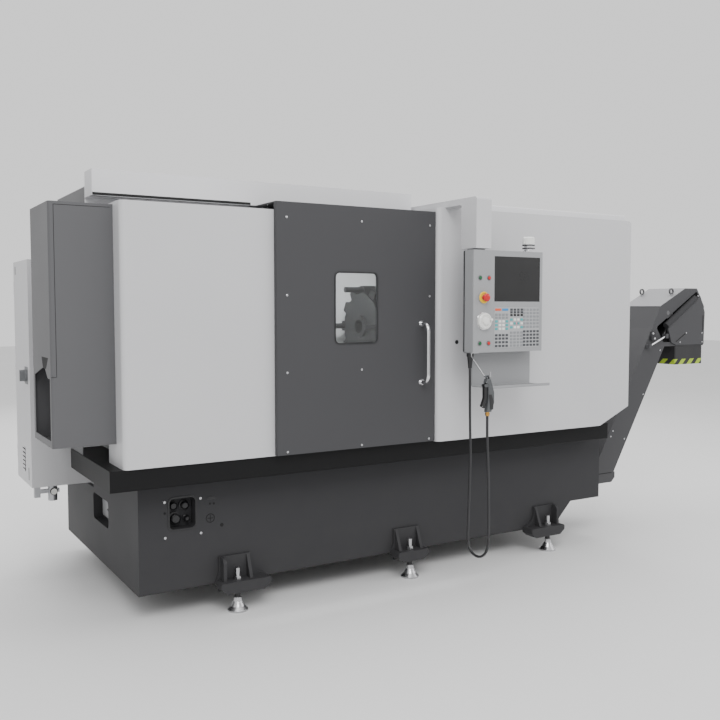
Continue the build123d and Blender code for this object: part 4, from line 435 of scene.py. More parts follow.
class Paint(Enum):
    """Every finish on the machine, with the record's slot that it stands for."""

    LIGHT = ("light_panel", SprayedCoat("light_coat", tone(190, 190, 192), 0.42))
    ROOF = ("light_panel", SprayedCoat("roof_coat", tone(212, 212, 214), 0.5, dust=0.1))
    CONSOLE = ("light_panel", SprayedCoat("console_coat", tone(143, 144, 146), 0.45))
    LID = ("light_panel", SprayedCoat("lid_coat", tone(146, 146, 149), 0.45))
    CHARCOAL = (
        "charcoal_panel",
        SprayedCoat("charcoal_coat", tone(66, 66, 68), 0.45, dust=0.04, gloss=0.2),
    )
    CABINET = (
        "charcoal_panel",
        SprayedCoat("cabinet_coat", tone(86, 86, 88), 0.45, dust=0.04, gloss=0.3),
    )
    SILL = ("dark_sill", SprayedCoat("sill_coat", tone(20, 20, 21), 0.5, dust=0.02, gloss=0.15))
    CASTING = (
        "cast_paint",
        SprayedCoat("base_enamel", tone(52, 52, 54), 0.55, 260.0, 0.0002, dust=0.03, gloss=0.15),
    )
    RAW = ("raw_casting", SprayedCoat("casting_grey", tone(150, 151, 150), 0.5, 200.0, 0.0003))
    INNER = ("charcoal_panel", SprayedCoat("inner_coat", tone(60, 60, 62), 0.5))
    STEEL = ("ground_steel", BareMetal("ground_steel", tone(196, 196, 198), 0.26))
    OXIDE = ("dark_steel", BareMetal("black_oxide", tone(58, 58, 60), 0.4))
    OILED = ("dark_steel", BareMetal("oiled_steel", tone(118, 118, 120), 0.36))
    CHROME = ("chrome", BareMetal("chrome_plate", tone(232, 232, 234), 0.08, (40.0, 40.0, 40.0)))
    BRASS = ("ground_steel", BareMetal("brass_nipple", tone(196, 150, 78), 0.25))
    ALUMINIUM = ("aluminium", BareMetal("drive_aluminium", tone(182, 183, 186), 0.4))
    GLASS = ("window_glass", ClearPane("door_glass", tone(236, 240, 239), 0.0, 1.0))
    SCREEN = ("screen_glass", Moulded("screen_face", tone(18, 18, 19), 0.3, 30.0, 0.0))
    CLEAR = ("clear_plastic", ClearPane("beacon_clear", tone(244, 245, 242), 0.3, 0.25))
    GREY = ("grey_plastic", Moulded("grey_moulding", tone(104, 106, 108), 0.45))
    MID = ("grey_plastic", Moulded("mid_keys", tone(132, 134, 137), 0.45))
    SLATE = ("black_plastic", Moulded("slate_keys", tone(62, 64, 68), 0.45))
    TOOL = ("grey_plastic", Moulded("gun_moulding", tone(74, 76, 78), 0.4))
    PLATE = ("grey_plastic", Moulded("key_field", tone(164, 165, 167), 0.5))
    BLACK = ("black_plastic", Moulded("black_moulding", tone(26, 26, 28), 0.38))
    # Near-black for dark seam lines, slots and holes, and also painted shadow in gaps, such as the
    # strip along the header box's foot.
    SEAM_AND_SHADOW = ("black_plastic", Moulded("seam_shadow", tone(12, 12, 13), 0.8))
    WHITE = ("white_plastic", Moulded("white_moulding", tone(226, 226, 222), 0.28))
    GREEN = ("green_plastic", Moulded("green_cap", tone(18, 92, 52), 0.25))
    RED = ("red_plastic", Moulded("red_cap", tone(196, 26, 28), 0.25))
    YELLOW = ("white_plastic", Moulded("yellow_ring", tone(236, 196, 24), 0.3))
    ORANGE = ("red_plastic", Moulded("orange_key", tone(214, 84, 48), 0.4))
    BLUE = ("grey_plastic", Moulded("blue_key", tone(36, 128, 190), 0.4))
    TEAL = ("grey_plastic", Moulded("teal_key", tone(64, 158, 160), 0.4))
    PINK = ("grey_plastic", Moulded("pink_key", tone(214, 160, 168), 0.4))
    HOSE = ("hose_rubber", Moulded("hose_rubber", tone(34, 34, 36), 0.42, 900.0))
    SKIRT = ("chute_rubber", HazardStripes("skirt_rubber", tone(26, 26, 28), tone(150, 176, 30)))

    def __init__(self, slot: str, finish: object) -> None:
        """Keep the slot and the finish."""
        self.slot = slot
        self.finish = finish

    def material(self) -> bpy.types.Material:
        """The finish's material, made the first time that it is asked for."""
        if self not in _materials:
            _materials[self] = self.finish.build()
        return _materials[self]


_materials: dict[Paint, bpy.types.Material] = {}


# Shapes


@dataclass(frozen=True)
class Extent:
    """The low and high corners of a CAD piece."""

    low: Vector
    high: Vector

    @classmethod
    def of(cls, node: str) -> "Extent":
        """The extent of a named CAD piece."""
        low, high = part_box(node)
        return cls(low, high)

    @property
    def middle(self) -> Vector:
        """The middle of the extent."""
        return (self.low + self.high) / 2


def circle(
    made: bmesh.types.BMesh, radius: float, height: float, sides: int
) -> list[bmesh.types.BMVert]:
    """Corners of a circle at a height, or one corner where it has no radius."""
    if radius <= TINY:
        return [made.verts.new((0, 0, height))]
    turns = [TURN * step / sides for step in range(sides)]
    return [
        made.verts.new((radius * math.cos(turn), radius * math.sin(turn), height))
        for turn in turns
    ]


def join(
    made: bmesh.types.BMesh,
    firsts: Sequence[Sequence[bmesh.types.BMVert]],
    seconds: Sequence[Sequence[bmesh.types.BMVert]],
) -> None:
    """Skin over pairs of loops, where either loop may be a single corner.

    Args:
        made: the mesh that holds the loops.
        firsts: the first loop of each pair.
        seconds: the second loop of each pair.
    """
    for first, second in zip(firsts, seconds):
        sides = max(len(first), len(second))
        for step in range(sides):
            after = (step + 1) % sides
            corners = dict.fromkeys(
                (
                    first[step % len(first)],
                    first[after % len(first)],
                    second[after % len(second)],
                    second[step % len(second)],
                )
            )
            if len(corners) > 2:
                made.faces.new(tuple(corners))


class Shape:
    """One scene piece: closed forms gathered in one mesh, each with its finish."""

    def __init__(self, name: str) -> None:
        """Start an empty piece.

        Args:
            name: the piece's name in the scene.
        """
        self.name = name
        self.mesh = bmesh.new()
        self.paints: list[Paint] = []

    def _take(self, made: bmesh.types.BMesh, paint: Paint) -> None:
        """Add a small mesh to the piece in one finish, then free it."""
        if paint not in self.paints:
            self.paints.append(paint)
        index = self.paints.index(paint)
        for face in made.faces:
            face.material_index = index
        scratch = bpy.data.meshes.new("scratch")
        made.to_mesh(scratch)
        made.free()
        self.mesh.from_mesh(scratch)
        bpy.data.meshes.remove(scratch)

    def stand(
        self, made: bmesh.types.BMesh, base: Point, axis: Axis, paint: Paint
    ) -> "Shape":
        """Turn a small mesh to its axis, move it to its base and add it."""
        bmesh.ops.recalc_face_normals(made, faces=list(made.faces))
        made.transform(Matrix.Translation(Vector(base)) @ axis.value.to_4x4())
        self._take(made, paint)
        return self

    def box(self, low: Point, high: Point, paint: Paint, edge: float = 0.001) -> "Shape":
        """Add a block with eased edges.

        Args:
            low: its lowest corner.
            high: its highest corner.
            paint: its finish.
            edge: the width of the eased edges.

        Returns:
            The piece itself.
        """
        made = bmesh.new()
        bmesh.ops.create_cube(made, size=1.0)
        size = Vector(high) - Vector(low)
        centre = (Vector(high) + Vector(low)) / 2
        for vertex in made.verts:
            vertex.co = Vector(a * b for a, b in zip(vertex.co, size)) + centre
        edge = min(edge, min(size) * 0.45)
        if edge > 0:
            bmesh.ops.bevel(
                made, geom=list(made.edges), offset=edge, segments=2, affect="EDGES", profile=0.6
            )
        self._take(made, paint)
        return self

    def pressed(
        self,
        points: Sequence[Flat],
        base: Point,
        axis: Axis,
        depth: float,
        paint: Paint,
        edge: float = 0.0,
    ) -> "Shape":
        """Add a flat outline pressed to a depth along an axis.

        Args:
            points: the outline, in the plane square to the axis.
            base: the place of the outline's own origin.
            axis: the way it is pressed.
            depth: how far.
            paint: its finish.
            edge: the width of the eased front edges.

        Returns:
            The piece itself.
        """
        made = bmesh.new()
        bottom = [made.verts.new((u, v, 0.0)) for u, v in points]
        face = made.faces.new(bottom)
        lifted = bmesh.ops.extrude_face_region(made, geom=[face])["geom"]
        for item in lifted:
            if isinstance(item, bmesh.types.BMVert):
                item.co.z += depth
        if edge > 0:
            front = [
                line
                for line in made.edges
                if all(abs(corner.co.z - depth) < TINY / 10 for corner in line.verts)
            ]
            bmesh.ops.bevel(made, geom=front, offset=edge, segments=2, affect="EDGES", profile=0.6)
        return self.stand(made, base, axis, paint)

    def turned(
        self, profile: Sequence[Flat], base: Point, axis: Axis, paint: Paint, sides: int = 40
    ) -> "Shape":
        """Add a turned form from a profile of radius and height.

        Args:
            profile: pairs of radius and height, from one end to the other.
            base: the place of the profile's own origin.
            axis: the way its height points.
            paint: its finish.
            sides: how many flats go round.

        Returns:
            The piece itself.
        """
        made = bmesh.new()
        rings = [circle(made, radius, height, sides) for radius, height in profile]
        join(made, rings, rings[1:])
        for ring in (rings[0], rings[-1]):
            if len(ring) > 1:
                made.faces.new(ring)
        return self.stand(made, base, axis, paint)

    def ring(
        self, outer: float, inner: float, height: float, base: Point, axis: Axis, paint: Paint
    ) -> "Shape":
        """Add a flat ring with softened rims."""
        ease = min(height * 0.3, (outer - inner) * 0.25)
        made = bmesh.new()
        rings = [
            circle(made, radius, lift, 48)
            for radius, lift in (
                (inner, 0.0),
                (inner, height - ease),
                (inner + ease, height),
                (outer - ease, height),
                (outer, height - ease),
                (outer, 0.0),
            )
        ]
        join(made, rings, rings[1:] + rings[:1])
        return self.stand(made, base, axis, paint)

    def tube(
        self, path: Sequence[Point], radius: float, paint: Paint, sides: int = 14
    ) -> "Shape":
        """Add a round bar or pipe along a path, with its corners rounded."""
        points = [Vector(point) for point in path]
        line: list[Vector] = [points[0]]
        for before, here, after in zip(points, points[1:], points[2:]):
            back = (before - here).normalized()
            on = (after - here).normalized()
            reach = min((before - here).length, (after - here).length, radius * 8) * 0.45
            for step in range(7):
                share = step / 6
                start = here + back * reach
                end = here + on * reach
                line.append(
                    start * (1 - share) ** 2 + here * 2 * share * (1 - share) + end * share**2
                )
        line.append(points[-1])
        made = bmesh.new()
        rings = []
        side = None
        turns = [TURN * step / sides for step in range(sides)]
        for number, place in enumerate(line):
            ahead = line[min(number + 1, len(line) - 1)] - line[max(number - 1, 0)]
            ahead.normalize()
            if side is None:
                side = ahead.orthogonal().normalized()
            side = (side - ahead * side.dot(ahead)).normalized()
            up = ahead.cross(side)
            rings.append(
                [
                    made.verts.new(
                        place + side * radius * math.cos(turn) + up * radius * math.sin(turn)
                    )
                    for turn in turns
                ]
            )
        join(made, rings, rings[1:])
        made.faces.new(rings[0])
        made.faces.new(rings[-1])
        bmesh.ops.recalc_face_normals(made, faces=list(made.faces))
        self._take(made, paint)
        return self

    def bolt(self, place: Point, axis: Axis, radius: float) -> "Shape":
        """Add a steel bolt head: a washer and a hexagon."""
        washer = radius * 0.22
        self.turned(
            [(0, 0), (radius * 1.35, 0), (radius * 1.35, washer), (0, washer)],
            place, axis, Paint.STEEL, 24,
        )
        return self.turned(
            [
                (0, 0), (radius, 0), (radius, radius * 0.62),
                (radius * 0.86, radius * 0.75), (0, radius * 0.75),
            ],
            tuple(Vector(place) + axis.value @ Vector((0, 0, washer))), axis, Paint.STEEL, 6,
        )

    def screw(self, place: Point, axis: Axis, radius: float) -> "Shape":
        """Add a low domed steel screw with a socket."""
        return self.turned(
            [
                (0, 0), (radius, 0), (radius * 0.92, radius * 0.3),
                (radius * 0.45, radius * 0.5), (radius * 0.4, radius * 0.25),
                (0, radius * 0.25),
            ],
            place, axis, Paint.STEEL, 18,
        )

    def place(self, body: str) -> None:
        """Finish the piece, put it in the scene and let it ride on a body."""
        for line in self.mesh.edges:
            line.smooth = len(line.link_faces) == 2 and line.calc_face_angle(0) < 0.6
        for face in self.mesh.faces:
            face.smooth = True
        data = bpy.data.meshes.new(self.name)
        self.mesh.to_mesh(data)
        self.mesh.free()
        for paint in self.paints:
            data.materials.append(paint.material())
        made = bpy.data.objects.new(self.name, data)
        bpy.context.scene.collection.objects.link(made)
        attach(made, body)
        log.info("piece %s on %s", self.name, body)


def screws(name: str, body: str, axis: Axis, radius: float, places: Iterable[Point]) -> None:
    """Place a set of screws as one piece.

    Args:
        name: the piece's name.
        body: the CAD body that it moves with.
        axis: the way that the heads face.
        radius: the radius of a head.
        places: where the heads sit.
    """
    piece = Shape(name)
    for place in places:
        piece.screw(place, axis, radius)
    piece.place(body)


def rounded(width: float, height: float, radius: float, steps: int = 6) -> list[Flat]:
    """Outline of a rectangle with rounded corners about its middle."""
    points: list[Flat] = []
    for turn, (sx, sy) in enumerate(((1, 1), (-1, 1), (-1, -1), (1, -1))):
        for step in range(steps + 1):
            angle = math.pi / 2 * (turn + step / steps)
            points.append(
                (
                    sx * (width / 2 - radius) + radius * math.cos(angle),
                    sy * (height / 2 - radius) + radius * math.sin(angle),
                )
            )
    return points


def rim(
    shape: Shape,
    outer: Sequence[Flat],
    inner: Sequence[Flat],
    base: Point,
    rise: float,
) -> None:
    """Add a flat black rim between two outlines that have the same number of points.

    Args:
        shape: the piece that it belongs to.
        outer: the outer outline.
        inner: the inner outline.
        base: the place of their origin.
        rise: how far it stands out.
    """
    made = bmesh.new()
    loops = [
        [made.verts.new((u, v, lift)) for u, v in points]
        for points, lift in ((outer, 0.0), (outer, rise), (inner, rise), (inner, 0.0))
    ]
    join(made, loops, loops[1:] + loops[:1])
    shape.stand(made, base, Axis.FRONT, Paint.BLACK)


def coat(paint: Paint, *nodes: str) -> None:
    """Give CAD pieces one finish."""
    for node in nodes:
        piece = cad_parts[node]
        piece.data.materials.clear()
        piece.data.materials.append(paint.material())
        log.info("finish %s on %s", paint.name, node)


# Sub-assemblies


@dataclass
class Studio:
    """Floor, soft lights and the camera at the photograph's place."""

    lens: float = 43.03
    pitch: float = 3.52
    heading: float = 31.14
    eye: Point = (-3.060, -4.3645, 1.47)
    floor_size: float = 60.0

    def build(self) -> None:
        """Make the camera, the lights, the sky and the floor."""
        self._camera()
        self._floor()
        self._sky()
        self._softbox("key_light", (-3.2, -6.0, 6.4), (0.0, 0.0, 1.6), 4.0, 380.0)
        self._softbox("side_light", (6.0, -4.0, 4.2), (0.8, 0.0, 1.2), 4.0, 100.0)
        self._softbox("top_light", (0.0, 0.5, 6.5), (0.0, 0.0, 1.0), 6.0, 220.0)
        self._softbox("rear_light", (1.5, 7.0, 4.5), (0.0, 0.0, 1.0), 5.0, 220.0)
        self._softbox("work_light", (-0.80, -0.44, 1.90), (-0.75, -0.10, 1.30), 0.35, 40.0)
        log.info("studio ready")

    def _camera(self) -> None:
        """Make the scene's camera."""
        data = bpy.data.cameras.new("camera")
        data.lens = self.lens
        data.sensor_width = 36.0
        data.clip_end = 200.0
        camera = bpy.data.objects.new("camera", data)
        camera.location = self.eye
        camera.rotation_euler = (
            math.radians(90 - self.pitch), 0.0, math.radians(-self.heading)
        )
        bpy.context.scene.collection.objects.link(camera)
        bpy.context.scene.camera = camera

    def _floor(self) -> None:
        """Make the pale floor."""
        half = self.floor_size / 2
        data = bpy.data.meshes.new("studio_floor")
        data.from_pydata(
            [(-half, -half, 0), (half, -half, 0), (half, half, 0), (-half, half, 0)],
            [], [(0, 1, 2, 3)],
        )
        floor = bpy.data.objects.new("studio_floor", data)
        bpy.context.scene.collection.objects.link(floor)
        graph = Graph("floor_paint")
        skin = graph.group(Effects.peel(), Grain_Scale=60.0, Tone_Scale=0.4)
        color = graph.ramp(skin.outputs["Tone"], (0.70, 0.70, 0.70), (0.74, 0.74, 0.74))
        graph.link(color, graph.shader.inputs["Base Color"])
        graph.set(Roughness=0.7)
        data.materials.append(graph.material)

    def _sky(self) -> None:
        """Make an even white surround."""
        world = bpy.data.worlds.new("studio_world")
        bpy.context.scene.world = world
        world.use_nodes = True
        sky = world.node_tree.nodes["Background"]
        sky.inputs["Color"].default_value = (1.0, 1.0, 1.0, 1.0)
        sky.inputs["Strength"].default_value = 1.1

    def _softbox(self, name: str, place: Point, target: Point, size: float, power: float) -> None:
        """Make one square soft light aimed at a point."""
        data = bpy.data.lights.new(name, "AREA")
        data.size = size
        data.energy = power
        light = bpy.data.objects.new(name, data)
        light.location = place
        aim = Vector(target) - Vector(place)
        light.rotation_euler = aim.to_track_quat("-Z", "Y").to_euler()
        light.visible_camera = False
        bpy.context.scene.collection.objects.link(light)


@dataclass
class AirLine:
    """The air hose's loop from the gland under the control to the blow gun."""

    diameter: float = 0.013
    gland: Flat = (-0.315, -0.9065)
    gun: Flat = (-0.329, -1.0635)
    exit_height: float = 1.158
    end_height: float = 0.932
    loop_bottom: float = 0.205

    def route(self) -> list[Point]:
        """The points that the hose follows, as in the part."""
        gx, gy = self.gland
        ux, uy = self.gun
        top = self.exit_height
        low = self.loop_bottom
        return [
            (gx, gy, top),
            (gx, gy, top - 0.120),
            (gx + 0.006, gy + 0.004, top - 0.270),
            (gx + 0.007, gy - 0.001, top - 0.440),
            (gx + 0.004, gy + 0.002, top - 0.610),
            (gx - 0.002, gy + 0.001, top - 0.770),
            (gx - 0.007, gy + 0.002, low + 0.047),
            (gx - 0.009, gy - 0.045, low),
            (ux + 0.006, uy + 0.046, low),
            (ux + 0.011, uy - 0.001, low + 0.047),
            (ux + 0.014, uy - 0.002, low + 0.150),
            (ux + 0.015, uy + 0.002, low + 0.300),
            (ux + 0.010, uy + 0.001, low + 0.455),
            (ux, uy, low + 0.610),
            (ux, uy, self.end_height),
        ]

    def build(self) -> None:
        data = bpy.data.curves.new("hose_curve", "CURVE")
        data.dimensions = "3D"
        data.bevel_depth = self.diameter / 2
        data.bevel_resolution = 6
        data.resolution_u = 14
        data.use_fill_caps = True
        points = self.route()
        spline = data.splines.new("NURBS")
        spline.points.add(len(points) - 1)
        for point, place in zip(spline.points, points):
            point.co = (*place, 1.0)
        spline.order_u = 3
        spline.use_endpoint_u = True
        data.materials.append(Paint.HOSE.material())
        hose = bpy.data.objects.new("air_line", data)
        bpy.context.scene.collection.objects.link(hose)
        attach(hose, "control")
        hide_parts("air_hose")
        log.info("hose ready")

    def dress(self) -> None:
        """Finish the gun and add its brass nipple and coupling rings."""
        coat(Paint.TOOL, "air_gun")
        coat(Paint.BLACK, "gun_trigger")
        coat(Paint.STEEL, "hose_fitting")
        gun = Extent.of("air_gun")
        ux, uy = self.gun
        nipple = Shape("gun_nipple")
        nipple.turned(
            [
                (0.0101, 0), (0.0104, 0.001), (0.0104, 0.006), (0.0122, 0.0065),
                (0.0122, 0.013), (0.0104, 0.0135), (0.0104, 0.0195), (0.0101, 0.0198),
            ],
            (ux, uy, self.end_height + 0.0003), Axis.Z, Paint.BRASS, 32,
        )
        nipple.place("control")
        gland = Shape("gland_sleeves")
        gland.turned(
            [(0.0086, 0.0005), (0.0093, 0.0005), (0.0150, 0.0595), (0.0144, 0.0595)],
            (*self.gland, self.exit_height), Axis.Z, Paint.BLACK, 32,
        )
        gland.turned(
            [(0.0145, 0), (0.0186, 0), (0.0186, 0.0175), (0.0145, 0.0175)],
            (*self.gland, self.exit_height + 0.060), Axis.Z, Paint.BLACK, 32,
        )
        gland.place("control")
        cover = Shape("gun_side_plates")
        for face, axis in ((gun.low.y, Axis.FRONT), (gun.high.y, Axis.REAR)):
            mirror = 1 if axis is Axis.FRONT else -1
            outline = [(0.006, 0.0), (0.024, 0.0), (0.027, 0.04), (0.014, 0.075), (-0.002, 0.075)]
            cover.pressed(
                [(mirror * u, v) for u, v in outline],
                (ux, face, gun.low.z + 0.032), axis, 0.0012, Paint.BLACK, 0.0005,
            )
        cover.place("control")


@dataclass
class SwingControl:
    """Control housing with its screen, keys, buttons, beacon and tray."""

    key: Flat = (0.0166, 0.0116)
    key_rise: float = 0.0016
    first_key: Flat = (0.0130, 0.0110)
    pitch: Flat = (0.0232, 0.0172)
    jog_centre: Flat = (-0.276, 1.399)
    estop_centre: Flat = (-0.280, 1.518)
    button_places: Tuple[Flat, ...] = (
        (-0.301, 1.617), (-0.244, 1.617), (-0.301, 1.287), (-0.244, 1.287),
    )
    housing: Extent = field(default_factory=lambda: Extent.of("pendant_housing"))
    keypad: Extent = field(default_factory=lambda: Extent.of("pendant_keypad"))
    screen: Extent = field(default_factory=lambda: Extent.of("pendant_screen"))

    @property
    def face(self) -> float:
        """Depth of the housing's front face."""
        return self.keypad.high.y - 0.001

    def build(self) -> None:
        """Finish the CAD pieces and add what they carry."""
        coat(Paint.LIGHT, "pendant_arm")
        coat(Paint.CONSOLE, "pendant_housing", "pendant_tray")
        coat(Paint.SCREEN, "pendant_screen")
        coat(Paint.PLATE, "pendant_keypad")
        coat(Paint.GREEN, "power_on_button", "cycle_start_button")
        coat(Paint.RED, "power_off_button", "feed_hold_button", "estop_button")
        coat(Paint.WHITE, "jog_wheel")
        coat(Paint.CHROME, "beacon_base")
        coat(Paint.CLEAR, "beacon_cap")
        self._bezels()
        self._keys()
        self._gasket()
        self._beacon()
        self._rear()

    def _bezels(self) -> None:
        """Rings round the buttons, the wheel and the stop, and the wheel's dial."""
        rings = Shape("control_bezels")
        for x, z in self.button_places:
            rings.ring(0.0125, 0.0086, 0.003, (x, self.face, z), Axis.FRONT, Paint.GREY)
        x, z = self.jog_centre
        rings.ring(0.045, 0.0135, 0.0018, (x, self.face, z), Axis.FRONT, Paint.CHROME)
        rings.place("control")
        stop = Shape("stop_ring")
        x, z = self.estop_centre
        for outer, inner, rise, lift in (
            (0.0296, 0.0135, 0.0014, 0.0050), (0.0282, 0.0222, 0.0035, 0.0064),
        ):
            stop.ring(outer, inner, rise, (x, self.face - lift, z), Axis.FRONT, Paint.YELLOW)
        stop.place("control")
        dial = Shape("jog_dial")
        x, z = self.jog_centre
        dial.ring(0.0405, 0.035, 0.0012, (x, self.face - 0.0145, z), Axis.FRONT, Paint.CHROME)
        for step in range(24):
            turn = TURN * step / 24
            place = (
                x + 0.0312 * math.cos(turn), self.face - 0.0196, z + 0.0312 * math.sin(turn)
            )
            dial.turned(
                [(0, 0), (0.0008, 0), (0.0008, 0.0006), (0, 0.0006)], place, Axis.FRONT,
                Paint.GREY, 8,
            )
        dial.place("hand_wheel")

    def _keys(self) -> None:
        """The key field, block by block."""
        keys = Shape("control_keys")
        face = self.keypad.low.y
        left = self.keypad.low.x
        top = self.keypad.high.z
        wide, high = self.key
        step_x, step_z = self.pitch

        def put(column: float, row: float, paint: Paint, span: float = 1.0) -> None:
            """Add one key by the column and row of its middle."""
            x = left + self.first_key[0] + column * step_x
            z = top - self.first_key[1] - row * step_z
            half = wide / 2
            keys.box(
                (x - half, face - self.key_rise, z - high / 2),
                (x + half + (span - 1) * step_x, face, z + high / 2),
                paint, 0.0008,
            )

        put(0, 0, Paint.ORANGE, 2.0)
        put(2, 0, Paint.BLUE, 2.0)
        for row in (1.5, 2.4):
            for column in range(4):
                put(column, row, Paint.MID)
        for row in (3.5, 4.6, 5.7):
            for column in range(4):
                put(column, row, Paint.TEAL if column in (0, 3) else Paint.WHITE)
        for row in (7.6, 8.6, 9.7, 10.8):
            for column in range(4):
                put(column, row, Paint.SLATE)
        for column in range(4):
            middle = 4.3 + column
            for row in (0.0, 0.8):
                put(middle, row, Paint.SLATE)
            put(middle, 1.65, Paint.BLACK)
            for row in (3.0, 4.15, 5.3):
                edge = column in (0, 3)
                centre = row == 4.15
                put(middle, row, Paint.TEAL if edge != centre else Paint.WHITE)
            for row in range(5):
                put(middle, 6.9 + row * 0.975, Paint.MID)
        put(5.8, 4.15, Paint.PINK)
        for column in range(5):
            for row in range(6):
                put(8.1 + column, row * 1.04, Paint.MID)
            for row in range(5):
                put(8.1 + column, 6.6 + row * 1.025, Paint.SLATE)
        keys.place("control")

    def _gasket(self) -> None:
        """Black seal line between the housing and its back cover."""
        seal = Shape("control_seal")
        low, high = self.housing.low, self.housing.high
        top = self.screen.high.z + 0.029
        depth = self.face + 0.078
        grow = -0.0015
        for first, second in (
            ((low.x - grow, low.z - grow), (low.x + 0.005, top + grow)),
            ((high.x - 0.005, low.z - grow), (high.x + grow, top + grow)),
            ((low.x + 0.005, low.z - grow), (high.x - 0.005, low.z + 0.005)),
            ((low.x + 0.005, top - 0.005), (high.x - 0.005, top + grow)),
        ):
            seal.box(
                (first[0], depth, first[1]), (second[0], depth + 0.006, second[1]),
                Paint.BLACK, 0.0005,
            )
        seal.place("control")

    def _beacon(self) -> None:
        """Dark rings under the beacon's clear cap."""
        base = Extent.of("beacon_base")
        middle = base.middle
        lamp = Shape("beacon_bands")
        for lift in (0.0165, 0.0325):
            lamp.ring(
                0.0334, 0.030, 0.0070, (middle.x, middle.y, base.low.z + lift), Axis.Z, Paint.BLACK
            )
        lamp.place("control")

    def _rear(self) -> None:
        """Screws of the back cover."""
        low, high = self.housing.low, self.housing.high
        screws(
            "control_back_screws", "control", Axis.REAR, 0.004,
            [
                (x, high.y, z)
                for x in (low.x + 0.03, self.housing.middle.x, high.x - 0.03)
                for z in (low.z + 0.03, self.screen.high.z)
            ],
        )


@dataclass
class DoorDress:
    """Window seal, screws and handle of the sliding door."""

    screw_columns: Tuple[float, ...] = (-1.241, -0.826, -0.411)
    screw_rows: Tuple[float, ...] = (1.894, 1.526, 1.157, 0.776)
    window: Tuple[float, float, float, float] = (-0.978, -0.735, 1.290, 1.640)
    door: Extent = field(default_factory=lambda: Extent.of("sliding_door"))

    def build(self) -> None:
        """Finish the door and add its trim."""
        coat(Paint.CHARCOAL, "sliding_door")
        coat(Paint.GLASS, "door_window")
        coat(Paint.CHROME, "door_handle")
        face = self.door.low.y
        bare = (self.screw_columns[1], self.screw_rows[1])
        screws(
            "door_screws", "door", Axis.FRONT, 0.0062,
            [
                (x, face, z)
                for z in self.screw_rows
                for x in self.screw_columns
                if (x, z) != bare
            ],
        )
        seal = Shape("window_seal")
        x0, x1, z0, z1 = self.window
        outer = rounded(x1 - x0 + 0.010, z1 - z0 + 0.010, 0.028)
        inner = rounded(x1 - x0 - 0.006, z1 - z0 - 0.006, 0.021)
        rim(seal, outer, inner, ((x0 + x1) / 2, face, (z0 + z1) / 2), 0.0018)
        seal.place("door")


